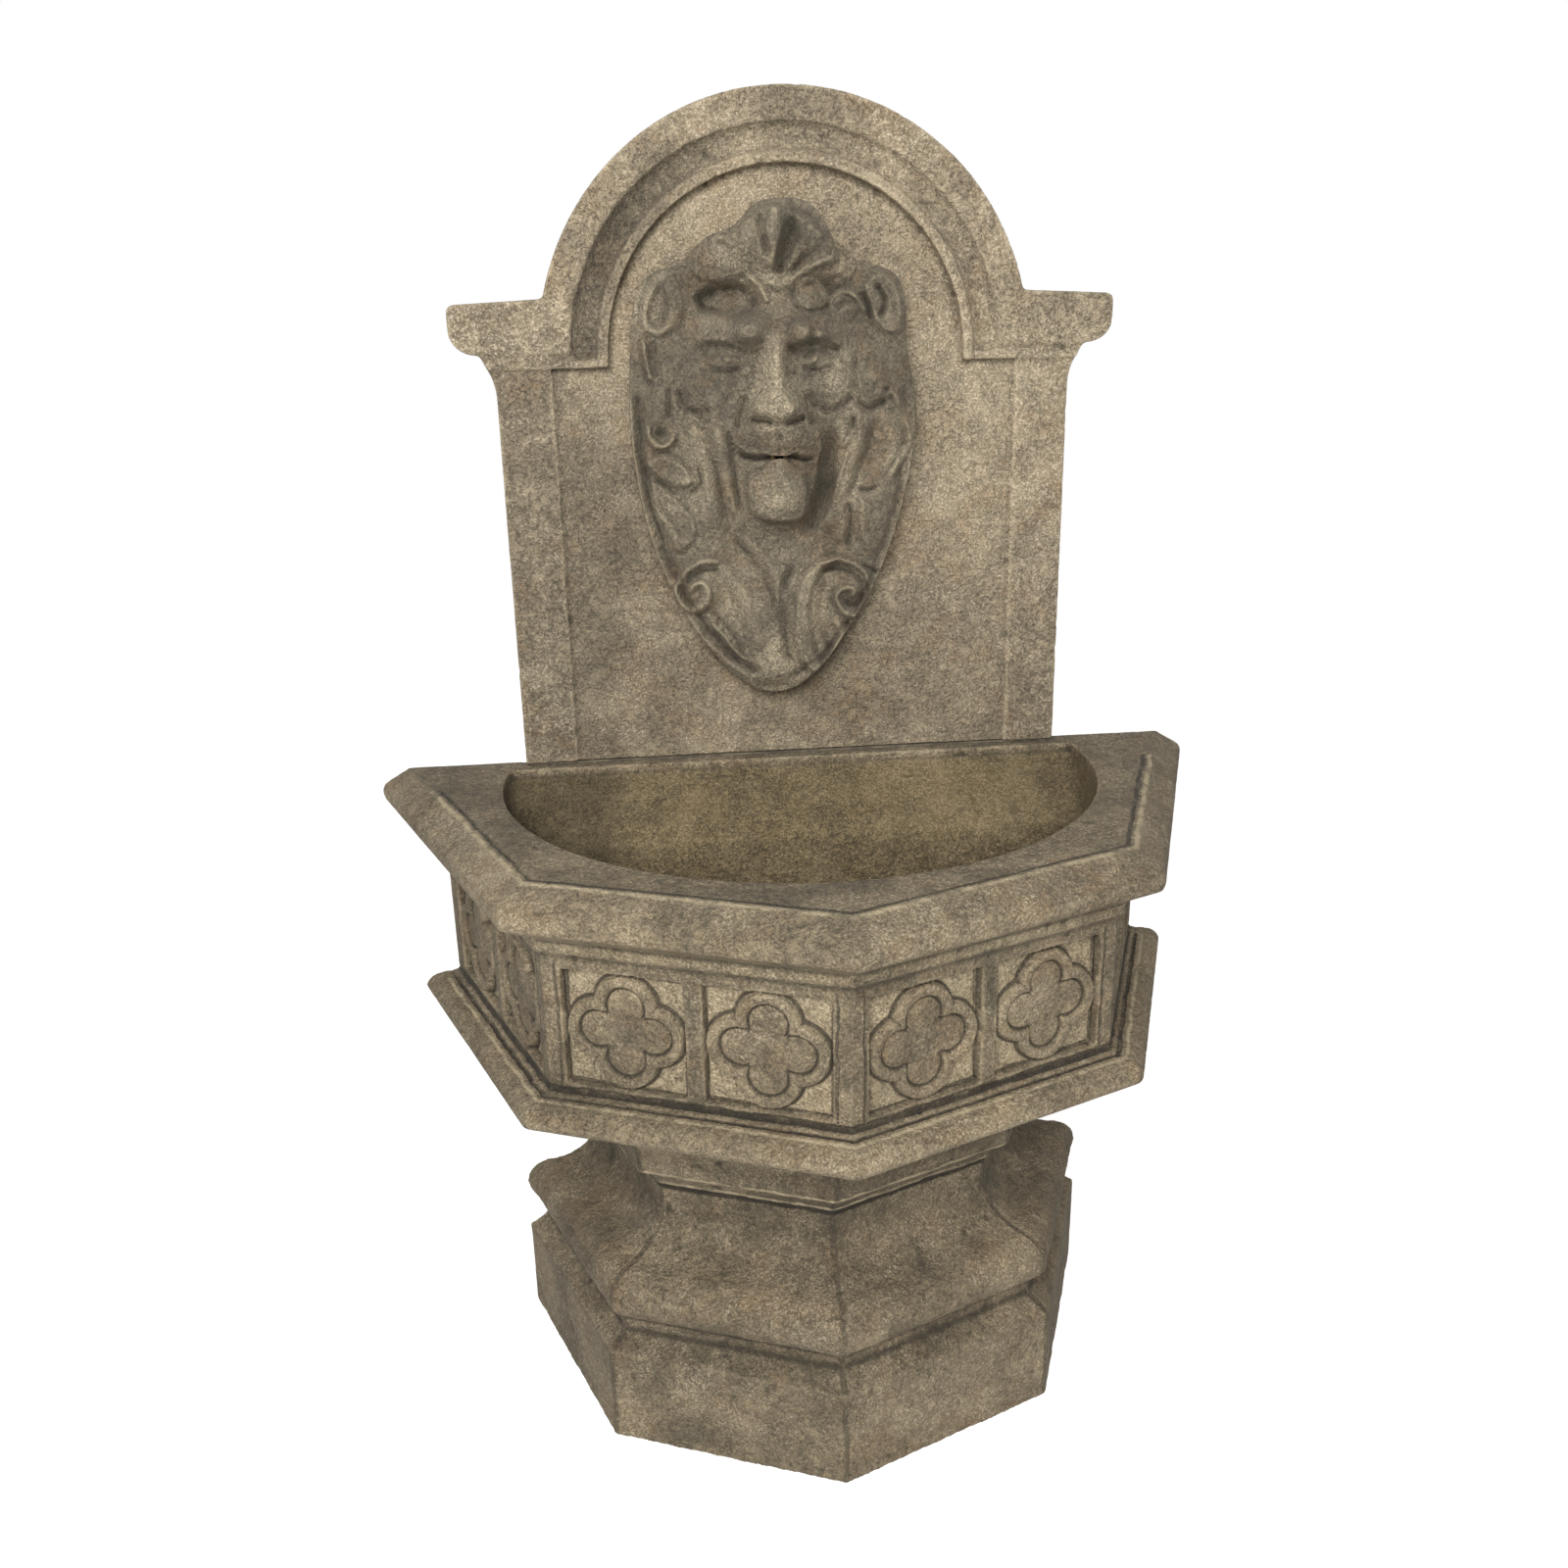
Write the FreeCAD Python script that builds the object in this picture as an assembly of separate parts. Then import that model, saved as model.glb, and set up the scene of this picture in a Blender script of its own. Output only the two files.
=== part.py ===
import FreeCAD, Part
import math
import os

# Garden wall fountain of cast stone: an arched back panel with a lion mask stands on the back rim
# of a half-octagonal basin, which stands on a moulded pedestal. A small pump in the bowl lifts
# water through a pipe behind the panel to the lion's mouth.
# Millimetres. X to the right seen from the front, Y towards the wall, Z up from the floor.
# All plans are half octagons with a vertex at the front, drawn about one upright axis.
# Plan radii are given to the vertices, and the shapes are moved by AXIS_Y when they are saved.

V = FreeCAD.Vector
HALF_SECTOR = math.radians(22.5)
TO_FLAT = math.cos(HALF_SECTOR)
SIDE_SLOPE = math.tan(HALF_SECTOR)
FACE_ANGLES = (202.5, 247.5, 292.5, 337.5)
UP = V(0.0, 0.0, 1.0)
DOWN = V(0.0, 0.0, -1.0)
BACK = V(0.0, 1.0, 0.0)
RIGHT = V(1.0, 0.0, 0.0)

# Planes behind the axis
WALL_Y = 85.0
RIM_BACK_Y = 75.0
BODY_BACK_Y = 8.0
PEDESTAL_BACK_Y = 0.0

# Mortar joints, clearances, and how far a cutting shape reaches past what it cuts
JOINT = 2.0
JOINT_INSET = 6.0
RUNNING_GAP = 0.05
SLIDE_GAP = 0.4
PAST = 1.0
NEARLY_ALONG_X = 0.9

# Pedestal
PLINTH_R = 336.0
PLINTH_H = 110.0
PLINTH_BEVEL = 16.0
RECESS_R = 313.0
ROLL_BOTTOM_Z = 142.0
ROLL_R = 334.0
ROLL_TOP_Z = 193.0
FLARE_R = 308.0
FLARE_Z = 199.0
NECK_R = 251.0
NECK_Z = 240.0
PEDESTAL_H = 340.0
NECK_TOP_Z = PEDESTAL_H - 74.0
CAP_R = 286.0
CAP_BOTTOM_Z = PEDESTAL_H - 43.0
CAP_LIP = 8.0
FLARE_BEND_R = 0.28
FLARE_BEND_Z = 0.36
PEDESTAL_WALL = 48.0
PEDESTAL_TOP_SLAB = 44.0
DUCT_R = 30.0
REAR_DOOR_W = 150.0
REAR_DOOR_H = 150.0

# Basin: its levels follow the pedestal's height
BASIN_BOTTOM_Z = PEDESTAL_H + JOINT
UNDERSIDE_R = 292.0
UNDERSIDE_Z = BASIN_BOTTOM_Z + 24.0
MOULD_BOTTOM_R = 406.0
MOULD_BOTTOM_Z = BASIN_BOTTOM_Z + 77.0
MOULD_R = 424.0
MOULD_NOSE_Z = BASIN_BOTTOM_Z + 89.0
MOULD_TOP_R = 404.0
MOULD_TOP_Z = BASIN_BOTTOM_Z + 104.0
MOULD_UNDER_ROUND_R = 5.0
MOULD_UNDER_ROUND_Z = 8.5
MOULD_OVER_ROUND_R = 6.0
MOULD_OVER_ROUND_Z = 9.0
LINE_OUTER_R = 397.0
LINE_R = 394.5
LINE_INNER_R = 392.0
LINE_DEPTH = 3.5
GROOVE_R = 384.0
GROOVE_Z = BASIN_BOTTOM_Z + 108.0
BAND_R = 386.0
BAND_TOP_Z = BASIN_BOTTOM_Z + 250.0
FILLET_R = 393.0
FILLET_BOTTOM_Z = BAND_TOP_Z + 5.0
FILLET_TOP_Z = BAND_TOP_Z + 17.0
RIM_UNDER_Z = BAND_TOP_Z + 37.0
RIM_UNDER_R = 3.0
RIM_R = 432.0
RIM_NOSE_Z = BAND_TOP_Z + 48.0
RIM_TOP_R = 400.0
RIM_Z = BAND_TOP_Z + 75.0
RIM_LOWER_ROUND_R = 0.8
RIM_LOWER_ROUND_Z = 5.7
RIM_UPPER_ROUND_R = 1.9
RIM_UPPER_ROUND_Z = 6.8
RIM_BEVEL_R = 7.0
RIM_BEVEL_RISE = 12.0

# Square sunk panels of the band with their quatrefoils
SQUARE = 119.0
SQUARE_BOTTOM_Z = GROOVE_Z + 9.0
SQUARE_FOOT = 4.0
SQUARE_MARGIN = 19.0
SQUARE_DEPTH = 10.0
LOBE_R = 29.5
LOBE_RAISE = 8.0
INNER_LOBE_R = 18.5
INNER_LOBE_AT = 27.0
INNER_SINK = 3.5
PILLOW_GAP = 2.2
PILLOW_RAISE = 2.5

# Bowl
BOWL_R = 320.0
BOWL_BACK_Y = 43.0
BOWL_FLOOR_Z = BASIN_BOTTOM_Z + 88.0
BOWL_FLOOR_R = 232.0
BOWL_SLOPE_Z = BAND_TOP_Z + 4.0
BOWL_LOW_BACK_Y = -30.0
BOWL_LIP_H = 12.0
BOWL_DRAFT = 4.0
BOWL_BEND_R = 26.0
BOWL_BEND_Z = BOWL_FLOOR_Z + 60.0

# Back panel: its levels follow the basin's rim
PANEL_FRONT_Y = 43.0
PANEL_BOTTOM_Z = RIM_Z + JOINT
ARCH_Z = PANEL_BOTTOM_Z + 431.0
ARCH_R = 254.0
SHOULDER_Z = ARCH_Z + 60.0
SHOULDER_DROP = 4.0
SHOULDER_X = 333.0
NOSE_X = 343.0
NOSE_TOP_Z = ARCH_Z + 47.0
NOSE_BOTTOM_Z = ARCH_Z + 28.0
NOSE_OVER_ROUND_X = 3.0
NOSE_OVER_ROUND_Z = NOSE_TOP_Z + 7.0
NOSE_UNDER_ROUND_X = 6.0
IMPOST_X = 314.0
IMPOST_TOP_Z = ARCH_Z + 6.0
NOSE_UNDER_ROUND_Z = IMPOST_TOP_Z + 9.0
IMPOST_BOTTOM_X = 307.0
IMPOST_BOTTOM_Z = ARCH_Z - 9.0
CAVETTO_Z = ARCH_Z - 34.0
STRIP_X = 300.0
STRIP_W = 58.0
COVE_OUTER_R = 221.0
COVE_INNER_R = 195.0
COVE_DEPTH = 12.0
COVE_INNER_DROP = 3.0
FIELD_ARCH_R = 183.0
FIELD_DEPTH = 14.0
STRIP_DEPTH = 9.0
IMPOST_DEPTH = 4.0
CHASE_W = 18.0
CHASE_DEPTH = 17.0

# Lion mask: heights are measured from its flat back
MASK_X = -15.0
MASK_CENTRE_Z = ARCH_Z - 101.0
MASK_HALF_W = 150.0
MASK_HALF_H = 254.0
MASK_EDGE_T = 20.0
MASK_MARGIN = 8.0
MASK_COLUMNS = 31
MASK_ROWS = 49
MASK_FALL = 0.7
MOUTH_Z = MASK_CENTRE_Z + 4.0
MOUTH_W = 66.0
MOUTH_H = 11.0
MOUTH_DEPTH = 34.0

# Registration pins
BASIN_DOWEL_R = 6.0
BASIN_DOWEL_L = 56.0
BASIN_DOWEL_X = 140.0
BASIN_DOWEL_Y = -70.0
PANEL_DOWEL_R = 5.0
PANEL_DOWEL_L = 60.0
PANEL_DOWEL_X = 270.0
MASK_DOWEL_R = 4.0
MASK_DOWEL_L = 24.0
MASK_DOWEL_X = 70.0
MASK_DOWEL_Z = MASK_CENTRE_Z - 69.0

# Keyhole hanger plates
HANGER_X = 215.0
HANGER_Z = ARCH_Z - 60.0
HANGER_W = 34.0
HANGER_H = 78.0
HANGER_T = 3.0
HANGER_ENTRY_R = 7.0
HANGER_SLOT_R = 3.5
HANGER_SLOT_RISE = 12.0
HANGER_SCREW_R = 2.0
HANGER_SCREW_L = 18.0
HANGER_SCREW_REACH = 30.0
HANGER_POCKET = 12.0
HANGER_HEAD_SPARE = 3.0
HANGER_HEAD_DROP = 5.0

# Water pipe
PIPE_X = MASK_X
PIPE_R = 6.0
PIPE_WALL = 1.0
PIPE_BEND = 26.0
PIPE_WALL_GAP = 2.5
PIPE_GAP = 2.0
WATER_Z = BOWL_FLOOR_Z + 44.0
SPOUT_Z = MOUTH_Z
SPOUT_R = 8.0
SPOUT_L = 16.0

# Bulkhead through the basin's back wall
BULK_R = 8.0
BULK_BORE_R = 5.0
BULK_FLANGE_R = 14.0
BULK_FLANGE_T = 4.0
WASHER_T = 2.0
NUT_T = 8.0
BULK_NUT_AF = 24.0
RISER_NUT_AF = 22.0
RISER_NUT_T = 12.0
BULK_TAIL = 24.0
BULK_BACK = 26.0

# Hose and clamps
HOSE_R = 11.0
HOSE_GRIP = 16.0
CLAMP_W = 8.0
CLAMP_T = 1.0
CLAMP_SET = 2.0
WORM_R = 3.0
WORM_L = 12.0
WORM_RISE = 1.5

# Pump: its rotor axis runs along X, with the intake on the left
PUMP_X = -15.0
PUMP_Y = -118.0
NOZZLE_RISE = 12.0
PUMP_Z = WATER_Z - NOZZLE_RISE
HOUSING_CORNER = 6.0
CAVITY_CORNER = 4.0
HOUSING_L = 58.0
HOUSING_W = 56.0
HOUSING_H = 48.0
HOUSING_WALL = 2.5
WELL_R = 12.0
WELL_L = 42.0
ROTOR_R = 11.4
ROTOR_L = 38.0
SHAFT_R = 1.5
BUSH_R = 3.5
BUSH_L = 4.0
BUSH_SEAT_T = 1.5
VOLUTE_L = 18.0
VOLUTE_R = 23.0
CHAMBER_R = 17.5
CHAMBER_L = 13.0
INLET_R = 8.0
NOZZLE_REACH = 48.0
IMPELLER_R = 15.5
IMPELLER_DISC_T = 1.6
IMPELLER_HUB_R = 4.0
IMPELLER_SET = 1.0
BLADE_COUNT = 6
BLADE_T = 1.4
BLADE_L = 7.0
SEAL_R = 1.2
SEAL_SEAT = 2.8
SPOKE_COUNT = 3
SPOKE_T = 2.0
STRAINER_L = 24.0
STRAINER_WALL = 2.0
STRAINER_OVERLAP = 12.0
NOZZLE_SPARE = 1.0
SLOT_COUNT = 6
SLOT_W = 2.6
SLOT_END = 8.0
SLOT_START = 3.0
DIAL_R = 9.0
DIAL_T = 4.0
DIAL_RIDGE_T = 3.0
DIAL_RIDGE_H = 14.4
DIAL_STEM_R = 2.5
DIAL_HEAD_R = 4.5
DIAL_HEAD_T = 1.5
CUP_R = 8.0
CUP_STEM_R = 3.0
CUP_CONE = 0.6
GLAND_R = 6.0
GLAND_BORE_R = 3.2
GLAND_L = 12.0
GLAND_FLARE = 1.0
GLAND_TAPER = 1.5
CORE_SET = 6.0
CORE_T = 18.0
CORE_W = 36.0
CORE_H = 34.0
COIL_T = 4.0
COIL_INSET = 4.0

# Drain and cord outlet
DRAIN_Y = -178.0
DRAIN_R = 14.0
DRAIN_FLANGE_R = 22.0
DRAIN_FLANGE_T = 3.0
DRAIN_BORE_R = 10.0
DRAIN_NUT_AF = 40.0
DRAIN_NUT_T = 10.0
DRAIN_TAIL = 14.0
STOPPER_L = 14.0
STOPPER_CAP_R = 15.0
STOPPER_CAP_T = 4.0
STOPPER_RING_R = 8.0
STOPPER_RING_WIRE_R = 1.5
BUNG_X = 70.0
BUNG_Z = BOWL_FLOOR_Z + 40.0
BUNG_R = 12.0
BUNG_HEAD_R = 16.0
BUNG_HEAD_T = 5.0
BUNG_BORE_R = 3.5

# The part's origin is on the floor, under the middle of its outer box
AXIS_Y = (RIM_R - WALL_Y) / 2.0

BIG = 2.0 * RIM_R


def save(name, shape):
    """Move a finished shape into the part's frame and write it as one node."""
    placed = shape.copy()
    placed.translate(V(0.0, AXIS_Y, 0.0))
    placed.exportStep("parts/" + name + ".step")


def box(x0, x1, y0, y1, z0, z1):
    return Part.makeBox(x1 - x0, y1 - y0, z1 - z0, V(x0, y0, z0))


def rod(radius, length, start, direction):
    return Part.makeCylinder(radius, length, start, direction)


def tube(outer, inner, length, start, direction):
    return rod(outer, length, start, direction).cut(rod(inner, length, start, direction))


def hexagon(across_flats, thickness, start, direction):
    """A hexagon bar along a main axis, from the start point."""
    radius = across_flats / 2.0 / math.cos(math.radians(30.0))
    corners = []
    for i in range(7):
        a = math.radians(60.0 * i)
        corners.append(V(radius * math.cos(a), radius * math.sin(a), 0.0))
    bar = Part.Face(Part.makePolygon(corners)).extrude(V(0.0, 0.0, thickness))
    bar.Placement = FreeCAD.Placement(start, FreeCAD.Rotation(UP, direction))
    return bar


def loop(start, steps):
    """A closed wire of lines (two numbers) and arcs (through two more), in the XZ plane."""
    edges = []
    here = V(start[0], 0.0, start[1])
    for step in steps:
        there = V(step[-2], 0.0, step[-1])
        if len(step) == 4:
            middle = V(step[0], 0.0, step[1])
            edges.append(Part.Arc(here, middle, there).toShape())
        else:
            edges.append(Part.LineSegment(here, there).toShape())
        here = there
    return Part.Wire(edges)


def half_octagon(radius, back_y, z0, z1):
    """An upright prism on a half octagon, cut off flat at the back."""
    s = radius * math.sqrt(0.5)
    side = radius + SIDE_SLOPE * back_y
    plan = [(-side, back_y), (-s, -s), (0.0, -radius), (s, -s), (side, back_y), (-side, back_y)]
    wire = Part.makePolygon([V(x, y, z0) for x, y in plan])
    return Part.Face(wire).extrude(V(0.0, 0.0, z1 - z0))


def moulded_octagon(start, steps, back_y):
    """A half octagon whose four faces carry one moulding, mitred at the vertices.

    The profile gives plan radii and heights. It starts and ends on the upright axis."""
    flat_steps = []
    for step in steps:
        flat = list(step)
        for i in range(0, len(flat), 2):
            flat[i] = flat[i] * TO_FLAT
        flat_steps.append(flat)
    z_low = start[1]
    z_high = steps[-1][-1]
    closing = [(-BIG, z_high), (-BIG, z_low), (start[0], start[1])]
    wire = loop(start, flat_steps + closing)
    bar = Part.Face(wire).extrude(V(0.0, 2.0 * BIG, 0.0))
    bar.translate(V(0.0, -BIG, 0.0))
    body = box(-BIG, BIG, -BIG, back_y, z_low, z_high)
    for angle in FACE_ANGLES:
        turned = bar.copy()
        turned.rotate(V(0.0, 0.0, 0.0), UP, angle)
        body = body.common(turned)
    return body


def on_face(shape, angle):
    """Turn a shape drawn for a face whose outward normal is -Y to the face at this angle."""
    turned = shape.copy()
    turned.rotate(V(0.0, 0.0, 0.0), UP, angle - 270.0)
    return turned


# Stone

def pedestal():
    bend_r = NECK_R + FLARE_BEND_R * (FLARE_R - NECK_R)
    bend_z = FLARE_Z + FLARE_BEND_Z * (NECK_Z - FLARE_Z)
    body = moulded_octagon((0.0, 0.0), [
        (PLINTH_R, 0.0),
        (PLINTH_R, PLINTH_H),
        (RECESS_R, PLINTH_H + PLINTH_BEVEL),
        (RECESS_R, ROLL_BOTTOM_Z),
        (ROLL_R, (ROLL_BOTTOM_Z + ROLL_TOP_Z) / 2.0, RECESS_R + CAP_LIP, ROLL_TOP_Z),
        (FLARE_R, FLARE_Z),
        (bend_r, bend_z, NECK_R, NECK_Z),
        (NECK_R, NECK_TOP_Z),
        (NECK_R + CAP_LIP, (NECK_TOP_Z + CAP_BOTTOM_Z) / 2.0, CAP_R - CAP_LIP, CAP_BOTTOM_Z),
        (CAP_R, PEDESTAL_H),
        (0.0, PEDESTAL_H),
    ], PEDESTAL_BACK_Y)
    hollow_back = PEDESTAL_BACK_Y - PEDESTAL_WALL
    hollow = half_octagon(PLINTH_R - PEDESTAL_WALL, hollow_back, -PAST, PLINTH_H)
    neck_hollow = half_octagon(NECK_R - PEDESTAL_WALL, hollow_back, -PAST, PEDESTAL_H - PEDESTAL_TOP_SLAB)
    door = box(-REAR_DOOR_W / 2.0, REAR_DOOR_W / 2.0, hollow_back - PAST, PEDESTAL_BACK_Y + PAST,
               -PAST, REAR_DOOR_H)
    slab_z = PEDESTAL_H - PEDESTAL_TOP_SLAB - PAST
    duct = rod(DUCT_R, PEDESTAL_TOP_SLAB + 2.0 * PAST, V(0.0, DRAIN_Y, slab_z), UP)
    body = body.cut(hollow.fuse([neck_hollow, door, duct]))
    return body.cut(basin_dowels())


def quatrefoil_cut():
    """The material taken out of one square panel of a face whose outward normal is -Y."""
    face_y = -BAND_R * TO_FLAT
    half = SQUARE / 2.0
    floor_y = face_y + SQUARE_DEPTH
    cut = box(-half, half, face_y - PAST, floor_y, -half, half)
    raised = box(-LOBE_R, LOBE_R, floor_y - LOBE_RAISE, floor_y, -LOBE_R, LOBE_R)
    sunk_y = floor_y - LOBE_RAISE
    bottom_y = sunk_y + INNER_SINK
    sunk = box(-INNER_LOBE_R, INNER_LOBE_R, sunk_y - PAST, bottom_y, -INNER_LOBE_R, INNER_LOBE_R)
    pillow_r = INNER_LOBE_R - PILLOW_GAP
    pillow = box(-pillow_r, pillow_r, bottom_y - PILLOW_RAISE, bottom_y, -pillow_r, pillow_r)
    lobes, sinks, pillows = [], [], []
    outer_at = half - LOBE_R
    for dx, dz in ((1.0, 0.0), (-1.0, 0.0), (0.0, 1.0), (0.0, -1.0)):
        lobes.append(rod(LOBE_R, LOBE_RAISE, V(dx * outer_at, sunk_y, dz * outer_at), BACK))
        at = V(dx * INNER_LOBE_AT, sunk_y - PAST, dz * INNER_LOBE_AT)
        sinks.append(rod(INNER_LOBE_R, INNER_SINK + PAST, at, BACK))
        at = V(dx * INNER_LOBE_AT, bottom_y - PILLOW_RAISE, dz * INNER_LOBE_AT)
        pillows.append(rod(pillow_r, PILLOW_RAISE, at, BACK))
    raised = raised.fuse(lobes).removeSplitter()
    sunk = sunk.fuse(sinks).removeSplitter()
    pillow = pillow.fuse(pillows).removeSplitter()
    return cut.cut(raised.cut(sunk.cut(pillow)))


def bowl_space():
    """The hollow of the bowl: round at the front, with a sloping back below the panel."""
    profile = loop((0.0, BOWL_FLOOR_Z), [
        (BOWL_FLOOR_R, BOWL_FLOOR_Z),
        (BOWL_R - BOWL_BEND_R, BOWL_BEND_Z, BOWL_R - BOWL_DRAFT, BOWL_SLOPE_Z),
        (BOWL_R, RIM_Z + PAST),
        (0.0, RIM_Z + PAST),
        (0.0, BOWL_FLOOR_Z),
    ])
    round_space = Part.Face(profile).revolve(V(0.0, 0.0, 0.0), UP, 360.0)
    high, low = RIM_Z + 2.0 * PAST, BOWL_FLOOR_Z - PAST
    side = [(-BIG, high), (BOWL_BACK_Y, high), (BOWL_BACK_Y, RIM_Z - BOWL_LIP_H),
            (BOWL_LOW_BACK_Y, BOWL_SLOPE_Z), (BOWL_LOW_BACK_Y, low), (-BIG, low), (-BIG, high)]
    wire = Part.makePolygon([V(-BIG, y, z) for y, z in side])
    front = Part.Face(wire).extrude(V(2.0 * BIG, 0.0, 0.0))
    return round_space.common(front)


def basin():
    line_z = (MOULD_TOP_Z + GROOVE_Z) / 2.0
    body = moulded_octagon((0.0, BASIN_BOTTOM_Z), [
        (UNDERSIDE_R, BASIN_BOTTOM_Z),
        (UNDERSIDE_R, UNDERSIDE_Z),
        (MOULD_BOTTOM_R, MOULD_BOTTOM_Z),
        (MOULD_R - MOULD_UNDER_ROUND_R, MOULD_NOSE_Z - MOULD_UNDER_ROUND_Z, MOULD_R, MOULD_NOSE_Z),
        (MOULD_R - MOULD_OVER_ROUND_R, MOULD_NOSE_Z + MOULD_OVER_ROUND_Z, MOULD_TOP_R, MOULD_TOP_Z),
        (LINE_OUTER_R, line_z),
        (LINE_R, line_z - LINE_DEPTH),
        (LINE_INNER_R, line_z),
        (GROOVE_R, GROOVE_Z),
        (BAND_R, SQUARE_BOTTOM_Z - SQUARE_FOOT),
        (BAND_R, BAND_TOP_Z),
        (0.0, BAND_TOP_Z),
    ], BODY_BACK_Y)
    bevel_r = RIM_R - RIM_BEVEL_R
    bevel_z = RIM_NOSE_Z + RIM_BEVEL_RISE
    rim = moulded_octagon((0.0, BAND_TOP_Z), [
        (BAND_R, BAND_TOP_Z),
        (FILLET_R, FILLET_BOTTOM_Z),
        (FILLET_R, FILLET_TOP_Z),
        (RIM_R - RIM_UNDER_R, RIM_UNDER_Z),
        (RIM_R - RIM_LOWER_ROUND_R, RIM_NOSE_Z - RIM_LOWER_ROUND_Z, RIM_R, RIM_NOSE_Z),
        (RIM_R - RIM_UPPER_ROUND_R, RIM_NOSE_Z + RIM_UPPER_ROUND_Z, bevel_r, bevel_z),
        (RIM_TOP_R, RIM_Z),
        (0.0, RIM_Z),
    ], RIM_BACK_Y)
    body = body.fuse(rim).removeSplitter()
    body = body.cut(bowl_space())
    cut = quatrefoil_cut()
    side = SQUARE + SQUARE_MARGIN
    for angle in FACE_ANGLES:
        for sign in (-0.5, 0.5):
            one = cut.copy()
            one.translate(V(sign * side, 0.0, SQUARE_BOTTOM_Z + SQUARE / 2.0))
            body = body.cut(on_face(one, angle))
    pipe_slot = box(PIPE_X - CHASE_W / 2.0, PIPE_X + CHASE_W / 2.0, riser_y() - PIPE_R - PIPE_GAP,
                    RIM_BACK_Y + PAST, BAND_TOP_Z - PAST, RIM_Z + PAST)
    through = BODY_BACK_Y - BOWL_LOW_BACK_Y + 2.0 * PAST
    bulk_hole = rod(BULK_R, through, V(PIPE_X, BOWL_LOW_BACK_Y - PAST, WATER_Z), BACK)
    bung_hole = rod(BUNG_R, through, V(BUNG_X, BOWL_LOW_BACK_Y - PAST, BUNG_Z), BACK)
    drain_hole = rod(DRAIN_R, BOWL_FLOOR_Z - BASIN_BOTTOM_Z + PAST, V(0.0, DRAIN_Y, BOWL_FLOOR_Z), DOWN)
    drain_seat = rod(DRAIN_FLANGE_R, DRAIN_FLANGE_T, V(0.0, DRAIN_Y, BOWL_FLOOR_Z), DOWN)
    nut_room = rod(DUCT_R, nut_room_top() - BASIN_BOTTOM_Z, V(0.0, DRAIN_Y, nut_room_top()), DOWN)
    body = body.cut(drain_seat.fuse([drain_hole, nut_room]))
    body = body.cut(pipe_slot.fuse([bulk_hole, bung_hole]))
    return body.cut(basin_dowels().fuse(panel_dowels()))


def nut_room_top():
    """Underside of the bowl's floor round the drain."""
    return BOWL_FLOOR_Z - DRAIN_NUT_T - DRAIN_TAIL


def panel_outline():
    """Arch, shoulders with moulded ends, and straight sides, as a closed wire at the panel's front."""
    foot_x = math.sqrt(ARCH_R ** 2 - (SHOULDER_Z - ARCH_Z) ** 2)
    right = [
        (STRIP_X, PANEL_BOTTOM_Z),
        (STRIP_X, CAVETTO_Z),
        (STRIP_X + 2.0, (CAVETTO_Z + IMPOST_BOTTOM_Z) / 2.0, IMPOST_BOTTOM_X, IMPOST_BOTTOM_Z),
        (IMPOST_X, IMPOST_TOP_Z),
        (NOSE_X - NOSE_UNDER_ROUND_X, NOSE_UNDER_ROUND_Z, NOSE_X, NOSE_BOTTOM_Z),
        (NOSE_X, NOSE_TOP_Z),
        (NOSE_X - NOSE_OVER_ROUND_X, NOSE_OVER_ROUND_Z, SHOULDER_X, SHOULDER_Z - SHOULDER_DROP),
        (foot_x, SHOULDER_Z),
        (0.0, ARCH_Z + ARCH_R, -foot_x, SHOULDER_Z),
        (-SHOULDER_X, SHOULDER_Z - SHOULDER_DROP),
        (3.0 - NOSE_X, NOSE_TOP_Z + 7.0, -NOSE_X, NOSE_TOP_Z),
        (-NOSE_X, NOSE_BOTTOM_Z),
        (6.0 - NOSE_X, IMPOST_TOP_Z + 9.0, -IMPOST_X, IMPOST_TOP_Z),
        (-IMPOST_BOTTOM_X, IMPOST_BOTTOM_Z),
        (-STRIP_X - 2.0, (CAVETTO_Z + IMPOST_BOTTOM_Z) / 2.0, -STRIP_X, CAVETTO_Z),
        (-STRIP_X, PANEL_BOTTOM_Z),
    ]
    return loop((-STRIP_X, PANEL_BOTTOM_Z), right)


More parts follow.
